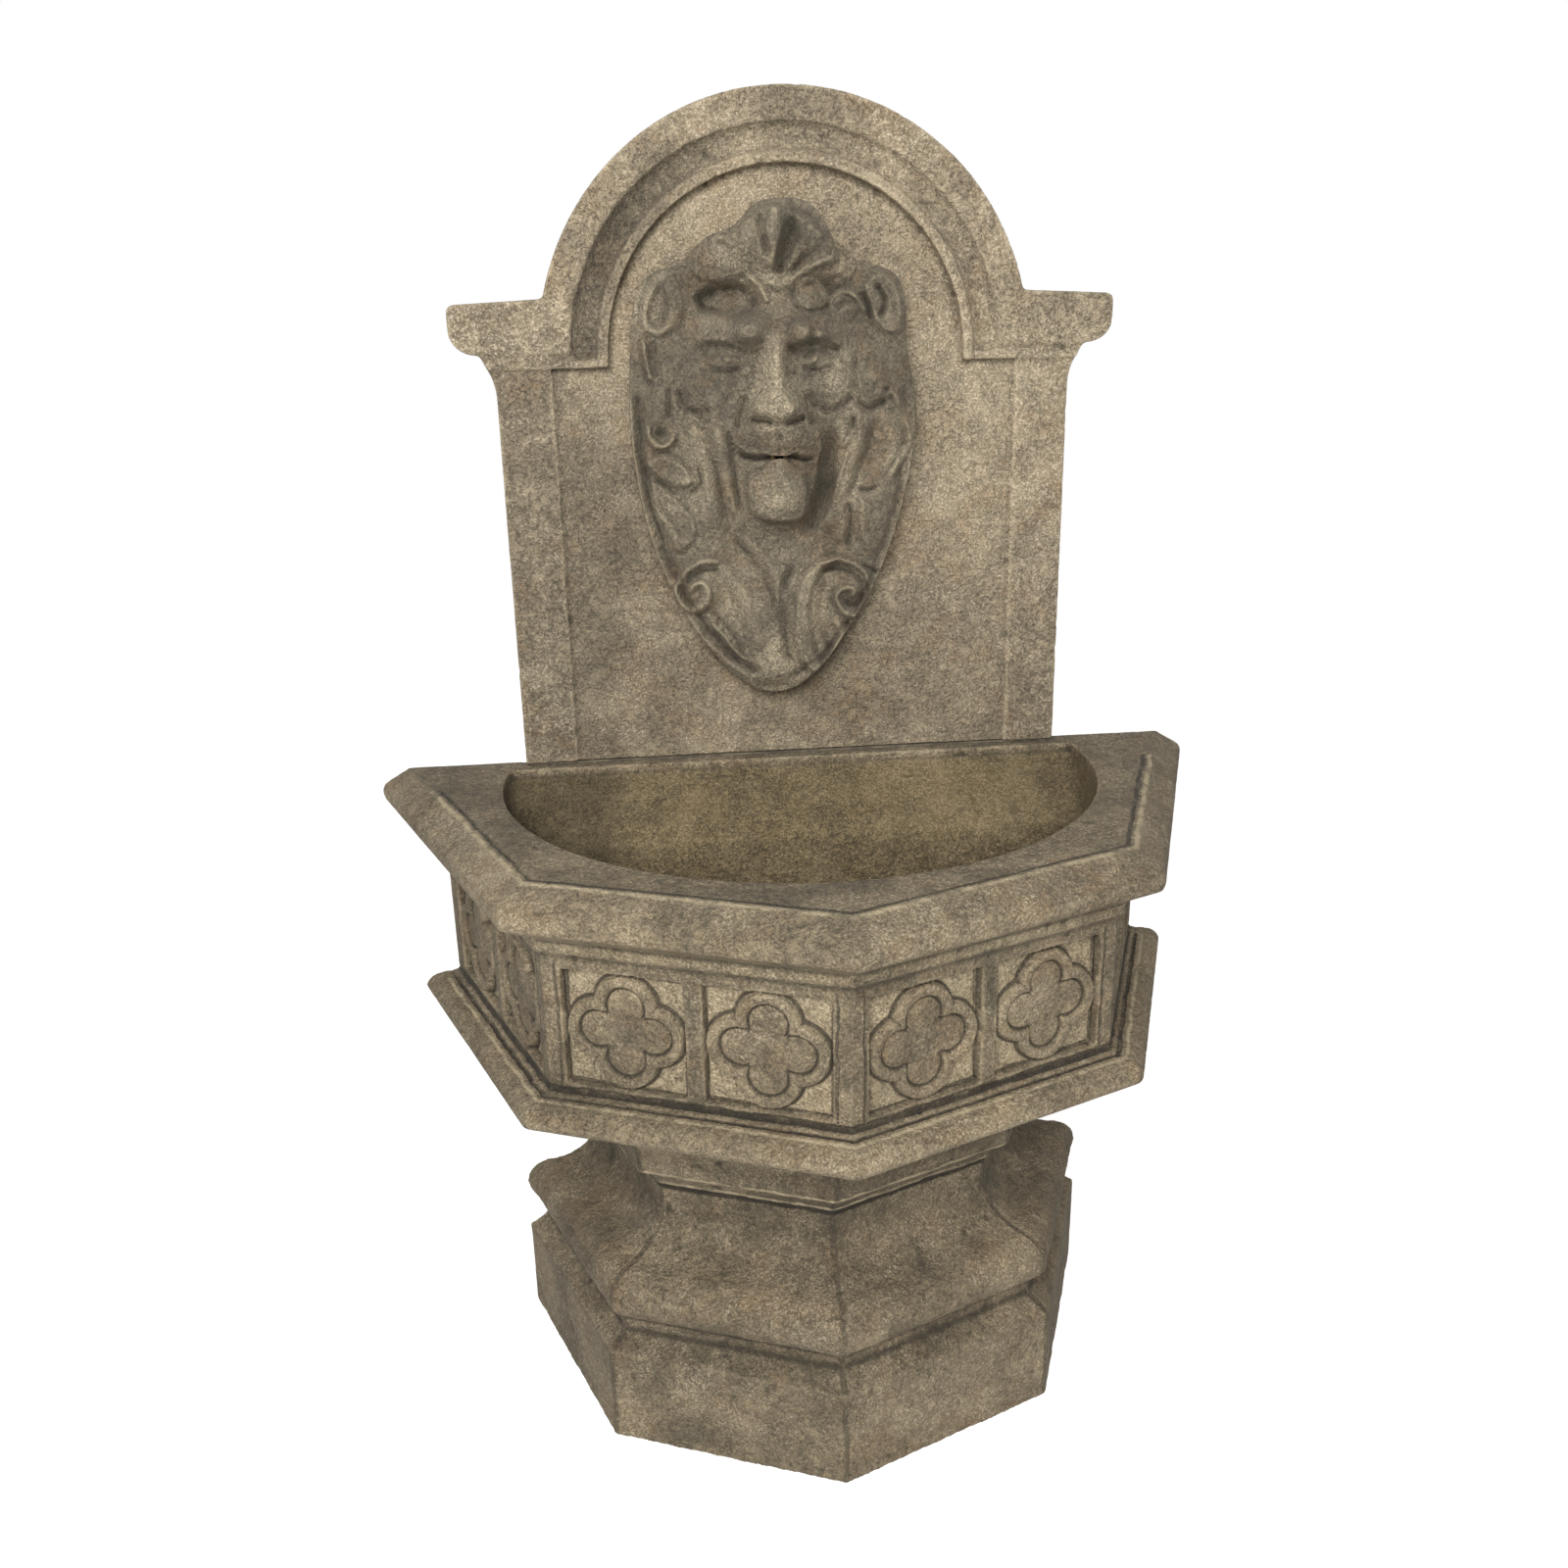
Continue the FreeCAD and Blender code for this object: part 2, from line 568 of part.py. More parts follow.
def back_panel():
    slab = Part.Face(panel_outline()).extrude(V(0.0, WALL_Y - PANEL_FRONT_Y, 0.0))
    slab.translate(V(0.0, PANEL_FRONT_Y, 0.0))
    front = PANEL_FRONT_Y
    before = front - PAST
    field_x = STRIP_X - STRIP_W
    below = PANEL_BOTTOM_Z - PAST
    arch_field = rod(FIELD_ARCH_R, FIELD_DEPTH + PAST, V(0.0, before, ARCH_Z), BACK)
    jambs = box(-FIELD_ARCH_R, FIELD_ARCH_R, before, front + FIELD_DEPTH, IMPOST_BOTTOM_Z - PAST, ARCH_Z)
    lower = box(-field_x, field_x, before, front + FIELD_DEPTH, below, IMPOST_BOTTOM_Z)
    strips = box(-NOSE_X, NOSE_X, before, front + STRIP_DEPTH, below, IMPOST_BOTTOM_Z)
    impost_y = front + IMPOST_DEPTH
    impost_left = box(-NOSE_X, -COVE_INNER_R, before, impost_y, IMPOST_BOTTOM_Z, IMPOST_TOP_Z)
    impost_right = box(COVE_INNER_R, NOSE_X, before, impost_y, IMPOST_BOTTOM_Z, IMPOST_TOP_Z)
    upper = box(-BIG, BIG, before - PAST, WALL_Y, ARCH_Z, 2.0 * ARCH_Z)
    slab = slab.cut(arch_field.common(upper).fuse([jambs, lower]).fuse([strips, impost_left, impost_right]))
    slab = slab.cut(cove_ring().common(upper))
    chase_y = WALL_Y - CHASE_DEPTH
    chase = box(PIPE_X - CHASE_W / 2.0, PIPE_X + CHASE_W / 2.0, chase_y, WALL_Y + PAST, below, SPOUT_Z)
    chase_end = rod(CHASE_W / 2.0, CHASE_DEPTH + PAST, V(PIPE_X, chase_y, SPOUT_Z), BACK)
    slab = slab.cut(chase.fuse(chase_end)).cut(swept_rod(PIPE_R + PIPE_GAP))
    for side in (-1.0, 1.0):
        slab = slab.cut(hanger_pocket(side * HANGER_X))
    slab = slab.cut(hanger_screws())
    return slab.cut(panel_dowels().fuse(mask_dowels()))


def cove_ring():
    """The hollow moulding round the arch, as a full ring of what is cut away."""
    before = PANEL_FRONT_Y - PAST
    middle_r = (COVE_OUTER_R + COVE_INNER_R) / 2.0
    section = loop((COVE_INNER_R, before), [
        (COVE_INNER_R, PANEL_FRONT_Y + COVE_INNER_DROP),
        (middle_r, PANEL_FRONT_Y + COVE_DEPTH, COVE_OUTER_R, PANEL_FRONT_Y),
        (COVE_OUTER_R, before),
        (COVE_INNER_R, before),
    ])
    section.rotate(V(0.0, 0.0, 0.0), RIGHT, -90.0)
    section.translate(V(0.0, 0.0, ARCH_Z))
    return Part.Face(section).revolve(V(0.0, 0.0, ARCH_Z), BACK, 360.0)


# Outline of the mask from its middle, clockwise from the top of the crest, across and up
MASK_OUTLINE = (
    (12.0, 250.0), (52.0, 225.0), (74.0, 189.0), (100.0, 186.0), (126.0, 176.0), (136.0, 144.0),
    (136.0, 114.0), (146.0, 60.0), (147.0, 20.0), (139.0, -30.0), (122.0, -90.0), (94.0, -152.0),
    (64.0, -202.0), (34.0, -236.0), (0.0, -252.0), (-30.0, -246.0), (-66.0, -216.0), (-100.0, -166.0),
    (-130.0, -96.0), (-146.0, -20.0), (-150.0, 50.0), (-146.0, 114.0), (-136.0, 164.0), (-118.0, 184.0),
    (-96.0, 190.0), (-68.0, 214.0), (-38.0, 226.0), (-16.0, 246.0),
)


def mask_outline():
    """Leaf-shaped outline of the mask, with lobes at the crest and the curls, pointed at the foot."""
    points = [V(MASK_X + x, 0.0, MASK_CENTRE_Z + z) for x, z in MASK_OUTLINE]
    curve = Part.BSplineCurve()
    curve.interpolate(Points=points, PeriodicFlag=True)
    return Part.Wire([curve.toShape()])


# Soft masses of the mask: across, up from the mouth, half width, half height, how far they stand out
MASK_MASSES = (
    (0.0, 62.0, 84.0, 92.0, 34.0),
    (0.0, 36.0, 36.0, 36.0, 46.0),
    (0.0, 84.0, 17.0, 56.0, 44.0),
    (0.0, 50.0, 28.0, 18.0, 56.0),
    (-28.0, 122.0, 34.0, 22.0, 50.0),
    (28.0, 122.0, 34.0, 22.0, 50.0),
    (0.0, -44.0, 34.0, 34.0, 44.0),
    (-62.0, 30.0, 34.0, 52.0, 40.0),
    (62.0, 30.0, 34.0, 52.0, 40.0),
    (0.0, 226.0, 24.0, 46.0, 30.0),
    (-48.0, 206.0, 24.0, 42.0, 28.0),
    (48.0, 206.0, 24.0, 42.0, 28.0),
    (-86.0, 172.0, 26.0, 36.0, 26.0),
    (86.0, 172.0, 26.0, 36.0, 26.0),
    (-112.0, 60.0, 22.0, 70.0, 20.0),
    (112.0, 60.0, 22.0, 70.0, 20.0),
    (-84.0, -70.0, 30.0, 70.0, 24.0),
    (84.0, -70.0, 30.0, 70.0, 24.0),
    (-80.0, -137.0, 20.0, 20.0, 26.0),
    (80.0, -137.0, 20.0, 20.0, 26.0),
    (0.0, -150.0, 46.0, 84.0, 24.0),
)
MASK_SHARPNESS = 5.0


def mask_height(x, z):
    """How far the relief stands out from its edge slab, blended softly from its masses."""
    total = 0.0
    for mx, mz, half_w, half_h, out in MASK_MASSES:
        q = ((x - mx) / half_w) ** 2 + ((z - mz) / half_h) ** 2
        total += (out * math.exp(-MASK_FALL * q)) ** MASK_SHARPNESS
    return total ** (1.0 / MASK_SHARPNESS)


def mask_back_y():
    return PANEL_FRONT_Y + FIELD_DEPTH - JOINT


def mask_skin():
    """The carved front of the mask as one smooth surface, larger than its outline."""
    half = MASK_HALF_W + MASK_MARGIN
    low = MASK_CENTRE_Z - MASK_HALF_H - MASK_MARGIN
    high = MASK_CENTRE_Z + MASK_HALF_H + MASK_MARGIN
    edge_y = mask_back_y() - MASK_EDGE_T
    grid = []
    for i in range(MASK_COLUMNS):
        x = -half + 2.0 * half * i / (MASK_COLUMNS - 1)
        line = []
        for j in range(MASK_ROWS):
            z = low + (high - low) * j / (MASK_ROWS - 1)
            line.append(V(MASK_X + x, edge_y - mask_height(x, z - MOUTH_Z), z))
        grid.append(line)
    surface = Part.BSplineSurface()
    surface.interpolate(grid)
    return surface.toShape()


def lion_mask():
    back_y = mask_back_y()
    thick = mask_skin().extrude(V(0.0, BIG, 0.0))
    outline = Part.Face(mask_outline()).extrude(V(0.0, BIG, 0.0))
    outline.translate(V(0.0, back_y - BIG, 0.0))
    mask = thick.common(outline)
    mouth_front = PANEL_FRONT_Y - MOUTH_DEPTH
    mouth = box(MASK_X - MOUTH_W / 2.0, MASK_X + MOUTH_W / 2.0, -BIG, mouth_front,
                MOUTH_Z - MOUTH_H / 2.0, MOUTH_Z + MOUTH_H / 2.0)
    bore_front = mouth_front - SPOUT_L
    bore = rod(SPOUT_R, back_y + PAST - bore_front, V(PIPE_X, bore_front, SPOUT_Z), BACK)
    return mask.cut(mouth.fuse(bore)).cut(mask_dowels())


def bedding():
    """The three mortar joints, each set back from the edges that it lies between."""
    y0 = PANEL_FRONT_Y + STRIP_DEPTH + JOINT_INSET
    strip = box(-STRIP_X + JOINT_INSET, STRIP_X - JOINT_INSET, y0, RIM_BACK_Y - JOINT_INSET,
                RIM_Z, PANEL_BOTTOM_Z)
    slot = box(PIPE_X - CHASE_W / 2.0, PIPE_X + CHASE_W / 2.0, riser_y() - PIPE_R - PIPE_GAP, WALL_Y,
               RIM_Z - PAST, PANEL_BOTTOM_Z + PAST)
    strip = strip.cut(slot.fuse(panel_dowels()))
    plate = half_octagon(CAP_R - JOINT_INSET, PEDESTAL_BACK_Y - JOINT_INSET, PEDESTAL_H, BASIN_BOTTOM_Z)
    duct = rod(DUCT_R + JOINT_INSET, JOINT + 2.0 * PAST, V(0.0, DRAIN_Y, PEDESTAL_H - PAST), UP)
    plate = plate.cut(duct.fuse(basin_dowels()))
    back_y = mask_back_y()
    pad = Part.Face(mask_outline()).extrude(V(0.0, JOINT, 0.0))
    pad.translate(V(0.0, back_y, 0.0))
    inner = pad.copy()
    shrink = FreeCAD.Matrix()
    factor = 1.0 - JOINT_INSET / MASK_HALF_W
    shrink.move(V(-MASK_X, 0.0, -MASK_CENTRE_Z))
    shrink.scale(V(factor, 1.0, factor))
    shrink.move(V(MASK_X, 0.0, MASK_CENTRE_Z))
    inner = inner.transformGeometry(shrink)
    bore = rod(PIPE_R + PIPE_GAP, JOINT + 2.0 * PAST, V(PIPE_X, back_y - PAST, SPOUT_Z), BACK)
    inner = inner.cut(bore.fuse(mask_dowels()))
    return strip, plate, inner


# Fixings

def basin_dowels():
    z0 = PEDESTAL_H + JOINT / 2.0 - BASIN_DOWEL_L / 2.0
    pins = []
    for s in (-1.0, 1.0):
        pins.append(rod(BASIN_DOWEL_R, BASIN_DOWEL_L, V(s * BASIN_DOWEL_X, BASIN_DOWEL_Y, z0), UP))
    return Part.makeCompound(pins)


def panel_dowels():
    z0 = RIM_Z + JOINT / 2.0 - PANEL_DOWEL_L / 2.0
    y = (PANEL_FRONT_Y + STRIP_DEPTH + RIM_BACK_Y) / 2.0
    pins = []
    for s in (-1.0, 1.0):
        pins.append(rod(PANEL_DOWEL_R, PANEL_DOWEL_L, V(s * PANEL_DOWEL_X, y, z0), UP))
    return Part.makeCompound(pins)


def mask_dowels():
    y0 = mask_back_y() + JOINT / 2.0 - MASK_DOWEL_L / 2.0
    pins = []
    for s in (-1.0, 1.0):
        at = V(MASK_X + s * MASK_DOWEL_X, y0, MASK_DOWEL_Z)
        pins.append(rod(MASK_DOWEL_R, MASK_DOWEL_L, at, BACK))
    return Part.makeCompound(pins)


def hanger_pocket(x):
    """Room behind the panel for one hanger plate and the head of the wall screw."""
    plate = box(x - HANGER_W / 2.0, x + HANGER_W / 2.0, WALL_Y - HANGER_T, WALL_Y + PAST,
                HANGER_Z - HANGER_H / 2.0, HANGER_Z + HANGER_H / 2.0)
    head_x = HANGER_ENTRY_R + HANGER_HEAD_SPARE
    head = box(x - head_x, x + head_x, WALL_Y - HANGER_T - HANGER_POCKET, WALL_Y,
               HANGER_Z - HANGER_ENTRY_R - HANGER_HEAD_DROP, HANGER_Z + HANGER_SLOT_RISE + HANGER_ENTRY_R)
    return plate.fuse(head)


def hanger_plates():
    plates = []
    for side in (-1.0, 1.0):
        x = side * HANGER_X
        y = WALL_Y - HANGER_T
        plate = box(x - HANGER_W / 2.0, x + HANGER_W / 2.0, y, WALL_Y,
                    HANGER_Z - HANGER_H / 2.0, HANGER_Z + HANGER_H / 2.0)
        entry = rod(HANGER_ENTRY_R, HANGER_T, V(x, y, HANGER_Z), BACK)
        slot = box(x - HANGER_SLOT_R, x + HANGER_SLOT_R, y, WALL_Y, HANGER_Z, HANGER_Z + HANGER_SLOT_RISE)
        slot_end = rod(HANGER_SLOT_R, HANGER_T, V(x, y, HANGER_Z + HANGER_SLOT_RISE), BACK)
        plates.append(plate.cut(entry.fuse([slot, slot_end])))
    return Part.makeCompound(plates).cut(hanger_screws())


def hanger_screws():
    screws = []
    for side in (-1.0, 1.0):
        for up in (-1.0, 1.0):
            at = V(side * HANGER_X, WALL_Y - HANGER_SCREW_L, HANGER_Z + up * HANGER_SCREW_REACH)
            shank = rod(HANGER_SCREW_R, HANGER_SCREW_L, at, BACK)
            head_at = V(at.x, WALL_Y - HANGER_T, at.z)
            head = Part.makeCone(HANGER_SCREW_R, 2.0 * HANGER_SCREW_R, HANGER_T, head_at, BACK)
            screws.append(shank.fuse(head).removeSplitter())
    return Part.makeCompound(screws)


# Water way

def riser_y():
    return WALL_Y - PIPE_WALL_GAP - PIPE_R


def pipe_start_y():
    """The pipe's lower end, inside the socket of the bulkhead fitting."""
    return BODY_BACK_Y + BULK_BACK - RISER_NUT_T


def swept_rod(radius):
    """A round bar along the riser's path: level, up behind the panel, and forward to the mouth."""
    x, y = PIPE_X, riser_y()
    r = PIPE_BEND
    k = r * (1.0 - math.sqrt(0.5))
    end_y = PANEL_FRONT_Y - MOUTH_DEPTH
    p = [V(x, pipe_start_y(), WATER_Z), V(x, y - r, WATER_Z), V(x, y, WATER_Z + r),
         V(x, y, SPOUT_Z - r), V(x, y - r, SPOUT_Z), V(x, end_y, SPOUT_Z)]
    path = Part.Wire([
        Part.LineSegment(p[0], p[1]).toShape(),
        Part.Arc(p[1], V(x, y - k, WATER_Z + k), p[2]).toShape(),
        Part.LineSegment(p[2], p[3]).toShape(),
        Part.Arc(p[3], V(x, y - k, SPOUT_Z - k), p[4]).toShape(),
        Part.LineSegment(p[4], p[5]).toShape(),
    ])
    circle = Part.Wire(Part.makeCircle(radius, p[0], BACK))
    return path.makePipeShell([circle], True, False)


def riser_pipe():
    return swept_rod(PIPE_R).cut(swept_rod(PIPE_R - PIPE_WALL))


def spout_nozzle():
    """A short brass end over the pipe, inside the mouth."""
    end_y = PANEL_FRONT_Y - MOUTH_DEPTH
    return tube(SPOUT_R, PIPE_R, SPOUT_L, V(PIPE_X, end_y, SPOUT_Z), BACK)


def bulkhead():
    """The threaded tube through the basin's back wall, its washers and its nuts."""
    inner_y = BOWL_LOW_BACK_Y
    start = inner_y - WASHER_T - BULK_FLANGE_T - BULK_TAIL
    end = BODY_BACK_Y + BULK_BACK
    body = rod(BULK_R, end - start, V(PIPE_X, start, WATER_Z), BACK)
    flange = rod(BULK_FLANGE_R, BULK_FLANGE_T, V(PIPE_X, inner_y - WASHER_T - BULK_FLANGE_T, WATER_Z), BACK)
    body = body.fuse(flange).removeSplitter()
    body = body.cut(rod(BULK_BORE_R, end - start, V(PIPE_X, start, WATER_Z), BACK))
    body = body.cut(rod(PIPE_R, end - pipe_start_y(), V(PIPE_X, pipe_start_y(), WATER_Z), BACK))
    washers = Part.makeCompound([
        tube(BULK_FLANGE_R, BULK_R, WASHER_T, V(PIPE_X, inner_y - WASHER_T, WATER_Z), BACK),
        tube(BULK_FLANGE_R, BULK_R, WASHER_T, V(PIPE_X, BODY_BACK_Y, WATER_Z), BACK),
    ])
    nut_y = BODY_BACK_Y + WASHER_T
    nut = hexagon(BULK_NUT_AF, NUT_T, V(PIPE_X, nut_y, WATER_Z), BACK)
    nut = nut.cut(rod(BULK_R, NUT_T, V(PIPE_X, nut_y, WATER_Z), BACK))
    cap_y = end - RISER_NUT_T + NUT_T / 2.0
    cap = hexagon(RISER_NUT_AF, RISER_NUT_T, V(PIPE_X, cap_y, WATER_Z), BACK)
    cap = cap.cut(rod(BULK_R, end - cap_y, V(PIPE_X, cap_y, WATER_Z), BACK))
    cap = cap.cut(rod(PIPE_R, RISER_NUT_T, V(PIPE_X, cap_y, WATER_Z), BACK))
    return body, washers, nut, cap


def hose_span():
    """Where the hose starts on the pump's nozzle and ends on the bulkhead's tail."""
    start = PUMP_Y + NOZZLE_REACH - HOSE_GRIP
    end = BOWL_LOW_BACK_Y - WASHER_T - BULK_FLANGE_T - BULK_TAIL + HOSE_GRIP
    return start, end


def pump_hose():
    start, end = hose_span()
    return tube(HOSE_R, BULK_R, end - start, V(PIPE_X, start, WATER_Z), BACK)


def hose_clamps():
    start, end = hose_span()
    clamps = []
    for y in (start + CLAMP_SET, end - CLAMP_SET - CLAMP_W):
        band = tube(HOSE_R + CLAMP_T, HOSE_R, CLAMP_W, V(PIPE_X, y, WATER_Z), BACK)
        worm_z = WATER_Z + HOSE_R + CLAMP_T + WORM_RISE
        worm = rod(WORM_R, WORM_L, V(PIPE_X - WORM_L / 2.0, y + CLAMP_W / 2.0, worm_z), RIGHT)
        worm = worm.cut(rod(HOSE_R + CLAMP_T, CLAMP_W, V(PIPE_X, y, WATER_Z), BACK))
        clamps.append(band.fuse(worm).removeSplitter())
    return Part.makeCompound(clamps)


# Pump

def along(x):
    """A point on the pump's rotor axis, x millimetres from the joint of housing and volute."""
    return V(PUMP_X + HOUSING_X0 + x, PUMP_Y, PUMP_Z)


# The nozzle lies over the middle of the volute, so the joint face is half a volute to its right
HOUSING_X0 = VOLUTE_L / 2.0


def pump_box(x0, x1, width, height, corner):
    """A box along the rotor axis with its four long edges rounded."""
    base = along(x0)
    shape = Part.makeBox(x1 - x0, width, height, V(base.x, PUMP_Y - width / 2.0, PUMP_Z - height / 2.0))
    long_edges = []
    for edge in shape.Edges:
        if abs(edge.tangentAt(edge.FirstParameter).x) > NEARLY_ALONG_X:
            long_edges.append(edge)
    return shape.makeFillet(corner, long_edges)


def pump_housing():
    shell = pump_box(0.0, HOUSING_L, HOUSING_W, HOUSING_H, HOUSING_CORNER)
    shell = shell.cut(pump_cavity())
    shell = shell.fuse(rod(WELL_R + HOUSING_WALL, WELL_L + HOUSING_WALL, along(0.0), RIGHT))
    shell = shell.cut(rod(WELL_R, WELL_L, along(0.0), RIGHT))
    return shell.cut(gland_hole()).removeSplitter()


def pump_cavity():
    return pump_box(HOUSING_WALL, HOUSING_L, HOUSING_W - 2.0 * HOUSING_WALL,
                    HOUSING_H - 2.0 * HOUSING_WALL, CAVITY_CORNER)


def gland_at():
    base = along(HOUSING_L - GLAND_R - HOUSING_WALL)
    return V(base.x, PUMP_Y, PUMP_Z + HOUSING_H / 2.0 - HOUSING_WALL)


def gland_hole():
    return rod(GLAND_R, HOUSING_WALL, gland_at(), UP)


def cord_gland():
    stem = rod(GLAND_R, HOUSING_WALL, gland_at(), UP)
    top = V(gland_at().x, gland_at().y, gland_at().z + HOUSING_WALL)
    cone = Part.makeCone(GLAND_R + GLAND_FLARE, GLAND_R - GLAND_TAPER, GLAND_L, top, UP)
    gland = stem.fuse(cone).removeSplitter()
    return gland.cut(rod(GLAND_BORE_R, GLAND_L + HOUSING_WALL, gland_at(), UP))


def stator():
    """Laminated core round the rotor well, the two coils on its legs, and the resin that seals them."""
    well = rod(WELL_R + HOUSING_WALL, HOUSING_L, along(0.0), RIGHT)
    x0 = HOUSING_WALL + CORE_SET
    core = pump_box(x0, x0 + CORE_T, CORE_W, CORE_H, 1.0).cut(well)
    coil_w = CORE_W - 2.0 * COIL_INSET
    coils = []
    for side in (-1.0, 1.0):
        z = PUMP_Z + side * (CORE_H / 2.0 + COIL_T / 2.0)
        base = along(x0)
        corner = V(base.x, PUMP_Y - coil_w / 2.0, z - COIL_T / 2.0)
        coils.append(Part.makeBox(CORE_T, coil_w, COIL_T, corner))
    coils = Part.makeCompound(coils)
    resin = pump_cavity().cut(rod(WELL_R + HOUSING_WALL, WELL_L + HOUSING_WALL, along(0.0), RIGHT))
    resin = resin.cut(core).cut(coils)
    return core, coils, resin


def shaft_ends():
    return -CHAMBER_L - BUSH_L, WELL_L


def shaft_parts():
    x0, x1 = shaft_ends()
    shaft = rod(SHAFT_R, x1 - x0, along(x0), RIGHT)
    bushes = [
        tube(BUSH_R, SHAFT_R, BUSH_L, along(x1 - BUSH_L), RIGHT),
        tube(BUSH_R, SHAFT_R, BUSH_L, along(x0), RIGHT),
    ]
    return shaft, Part.makeCompound(bushes)


def well_bush_seat():
    """A ring at the bottom of the rotor well that holds the inner bush."""
    return tube(WELL_R, BUSH_R, BUSH_L, along(WELL_L - BUSH_L), RIGHT)


def rotor():
    running = SHAFT_R + RUNNING_GAP
    magnet = tube(ROTOR_R, running, ROTOR_L - BUSH_L - SLIDE_GAP, along(0.0), RIGHT)
    disc_x = -IMPELLER_DISC_T - IMPELLER_SET
    disc = rod(IMPELLER_R, IMPELLER_DISC_T, along(disc_x), RIGHT)
    hub = rod(IMPELLER_HUB_R, BLADE_L - disc_x, along(disc_x - BLADE_L), RIGHT)
    wheel = disc.fuse(hub)
    for i in range(BLADE_COUNT):
        base = along(disc_x - BLADE_L)
        root = V(base.x, PUMP_Y - BLADE_T / 2.0, PUMP_Z + IMPELLER_HUB_R - PAST)
        blade = Part.makeBox(BLADE_L, BLADE_T, IMPELLER_R - IMPELLER_HUB_R, root)
        blade.rotate(base, RIGHT, 360.0 * i / BLADE_COUNT)
        wheel = wheel.fuse(blade)
    return magnet, wheel.removeSplitter().cut(rod(running, BIG, along(-BIG / 2.0), RIGHT))


def volute_cover():
    front_x = -VOLUTE_L
    body = rod(VOLUTE_R, VOLUTE_L, along(front_x), RIGHT)
    nozzle_at = V(PIPE_X, PUMP_Y, WATER_Z)
    body = body.fuse(rod(BULK_R, NOZZLE_REACH, nozzle_at, BACK))
    chamber = rod(CHAMBER_R, CHAMBER_L, along(-CHAMBER_L), RIGHT)
    body = body.cut(chamber)
    body = body.cut(rod(BULK_BORE_R, NOZZLE_REACH + PAST, nozzle_at, BACK))
    inlet = rod(INLET_R, VOLUTE_L, along(front_x), RIGHT)
    hub = rod(BUSH_R + BUSH_SEAT_T, VOLUTE_L - CHAMBER_L, along(front_x), RIGHT)
    base = along(front_x)
    for i in range(SPOKE_COUNT):
        root = V(base.x, PUMP_Y - SPOKE_T / 2.0, PUMP_Z)
        spoke = Part.makeBox(VOLUTE_L - CHAMBER_L, SPOKE_T, INLET_R + PAST, root)
        spoke.rotate(base, RIGHT, 360.0 * i / SPOKE_COUNT)
        hub = hub.fuse(spoke)
    body = body.cut(inlet.cut(hub))
    seat = rod(BUSH_R, BUSH_L, along(-CHAMBER_L - BUSH_L), RIGHT)
    body = body.cut(seat).cut(rod(SHAFT_R, VOLUTE_L, along(front_x + PAST), RIGHT))
    return body.cut(volute_seal()).removeSplitter()


def volute_seal():
    return Part.makeTorus(CHAMBER_R + SEAL_SEAT, SEAL_R, along(-SEAL_R), RIGHT)


def strainer_span():
    front = -VOLUTE_L - STRAINER_L
    return front, -VOLUTE_L + STRAINER_OVERLAP


def intake_strainer():
    """A slotted cap that slides over the volute and lifts off to the left."""
    front, back = strainer_span()
    inner_r = VOLUTE_R + SLIDE_GAP
    cap = rod(inner_r + STRAINER_WALL, back - front, along(front), RIGHT)
    cap = cap.cut(rod(inner_r, back - front - STRAINER_WALL, along(front + STRAINER_WALL), RIGHT))
    room = BULK_R + NOZZLE_SPARE
    window = rod(room, BIG, V(PIPE_X, PUMP_Y, WATER_Z), BACK)
    slide_room = box(PIPE_X - room, PIPE_X + BIG, PUMP_Y, PUMP_Y + BIG, WATER_Z - room, WATER_Z + room)
    cap = cap.cut(window.fuse(slide_room))
    base = along(front + STRAINER_WALL + SLOT_START)
    for i in range(SLOT_COUNT):
        for angle in (0.0, 90.0):
            offset = (i - (SLOT_COUNT - 1) / 2.0) * 2.0 * SLOT_W
            slot = Part.makeBox(STRAINER_L - STRAINER_WALL - SLOT_END, SLOT_W, BIG,
                                V(base.x, PUMP_Y + offset - SLOT_W / 2.0, PUMP_Z - BIG / 2.0))
            slot.rotate(V(base.x, PUMP_Y, PUMP_Z), RIGHT, angle)
            cap = cap.cut(slot)
    return cap.cut(rod(DIAL_STEM_R + RUNNING_GAP, STRAINER_WALL, along(front), RIGHT))


def flow_dial():
    """A knob outside the strainer, its stem and the head that keeps it in."""
    front, _ = strainer_span()
    knob = rod(DIAL_R, DIAL_T, along(front - SLIDE_GAP - DIAL_T), RIGHT)
    base = along(front - SLIDE_GAP - 2.0 * DIAL_T)
    ridge_at = V(base.x, PUMP_Y - DIAL_RIDGE_T / 2.0, PUMP_Z - DIAL_RIDGE_H / 2.0)
    ridge = Part.makeBox(DIAL_T, DIAL_RIDGE_T, DIAL_RIDGE_H, ridge_at)
    stem = rod(DIAL_STEM_R, STRAINER_WALL + 2.0 * SLIDE_GAP, along(front - SLIDE_GAP), RIGHT)
    head = rod(DIAL_HEAD_R, DIAL_HEAD_T, along(front + STRAINER_WALL + SLIDE_GAP), RIGHT)
    return knob.fuse([ridge, stem, head]).removeSplitter()


def suction_cups():
    """Four rubber feet between the pump and the bowl's floor."""
    top_z = PUMP_Z - HOUSING_H / 2.0
    room = top_z - BOWL_FLOOR_Z
    cone_h = CUP_CONE * room
    cups = []
    for dx in (CUP_R, HOUSING_L - CUP_R):
        for dy in (-1.0, 1.0):
            x = along(dx).x
            y = PUMP_Y + dy * (HOUSING_W / 2.0 - CUP_R - HOUSING_WALL)
            cone = Part.makeCone(CUP_R, CUP_STEM_R, cone_h, V(x, y, BOWL_FLOOR_Z), UP)
            stem = rod(CUP_STEM_R, room - cone_h, V(x, y, BOWL_FLOOR_Z + cone_h), UP)
            cups.append(cone.fuse(stem).removeSplitter())
    return Part.makeCompound(cups)


# Drain and cord outlet

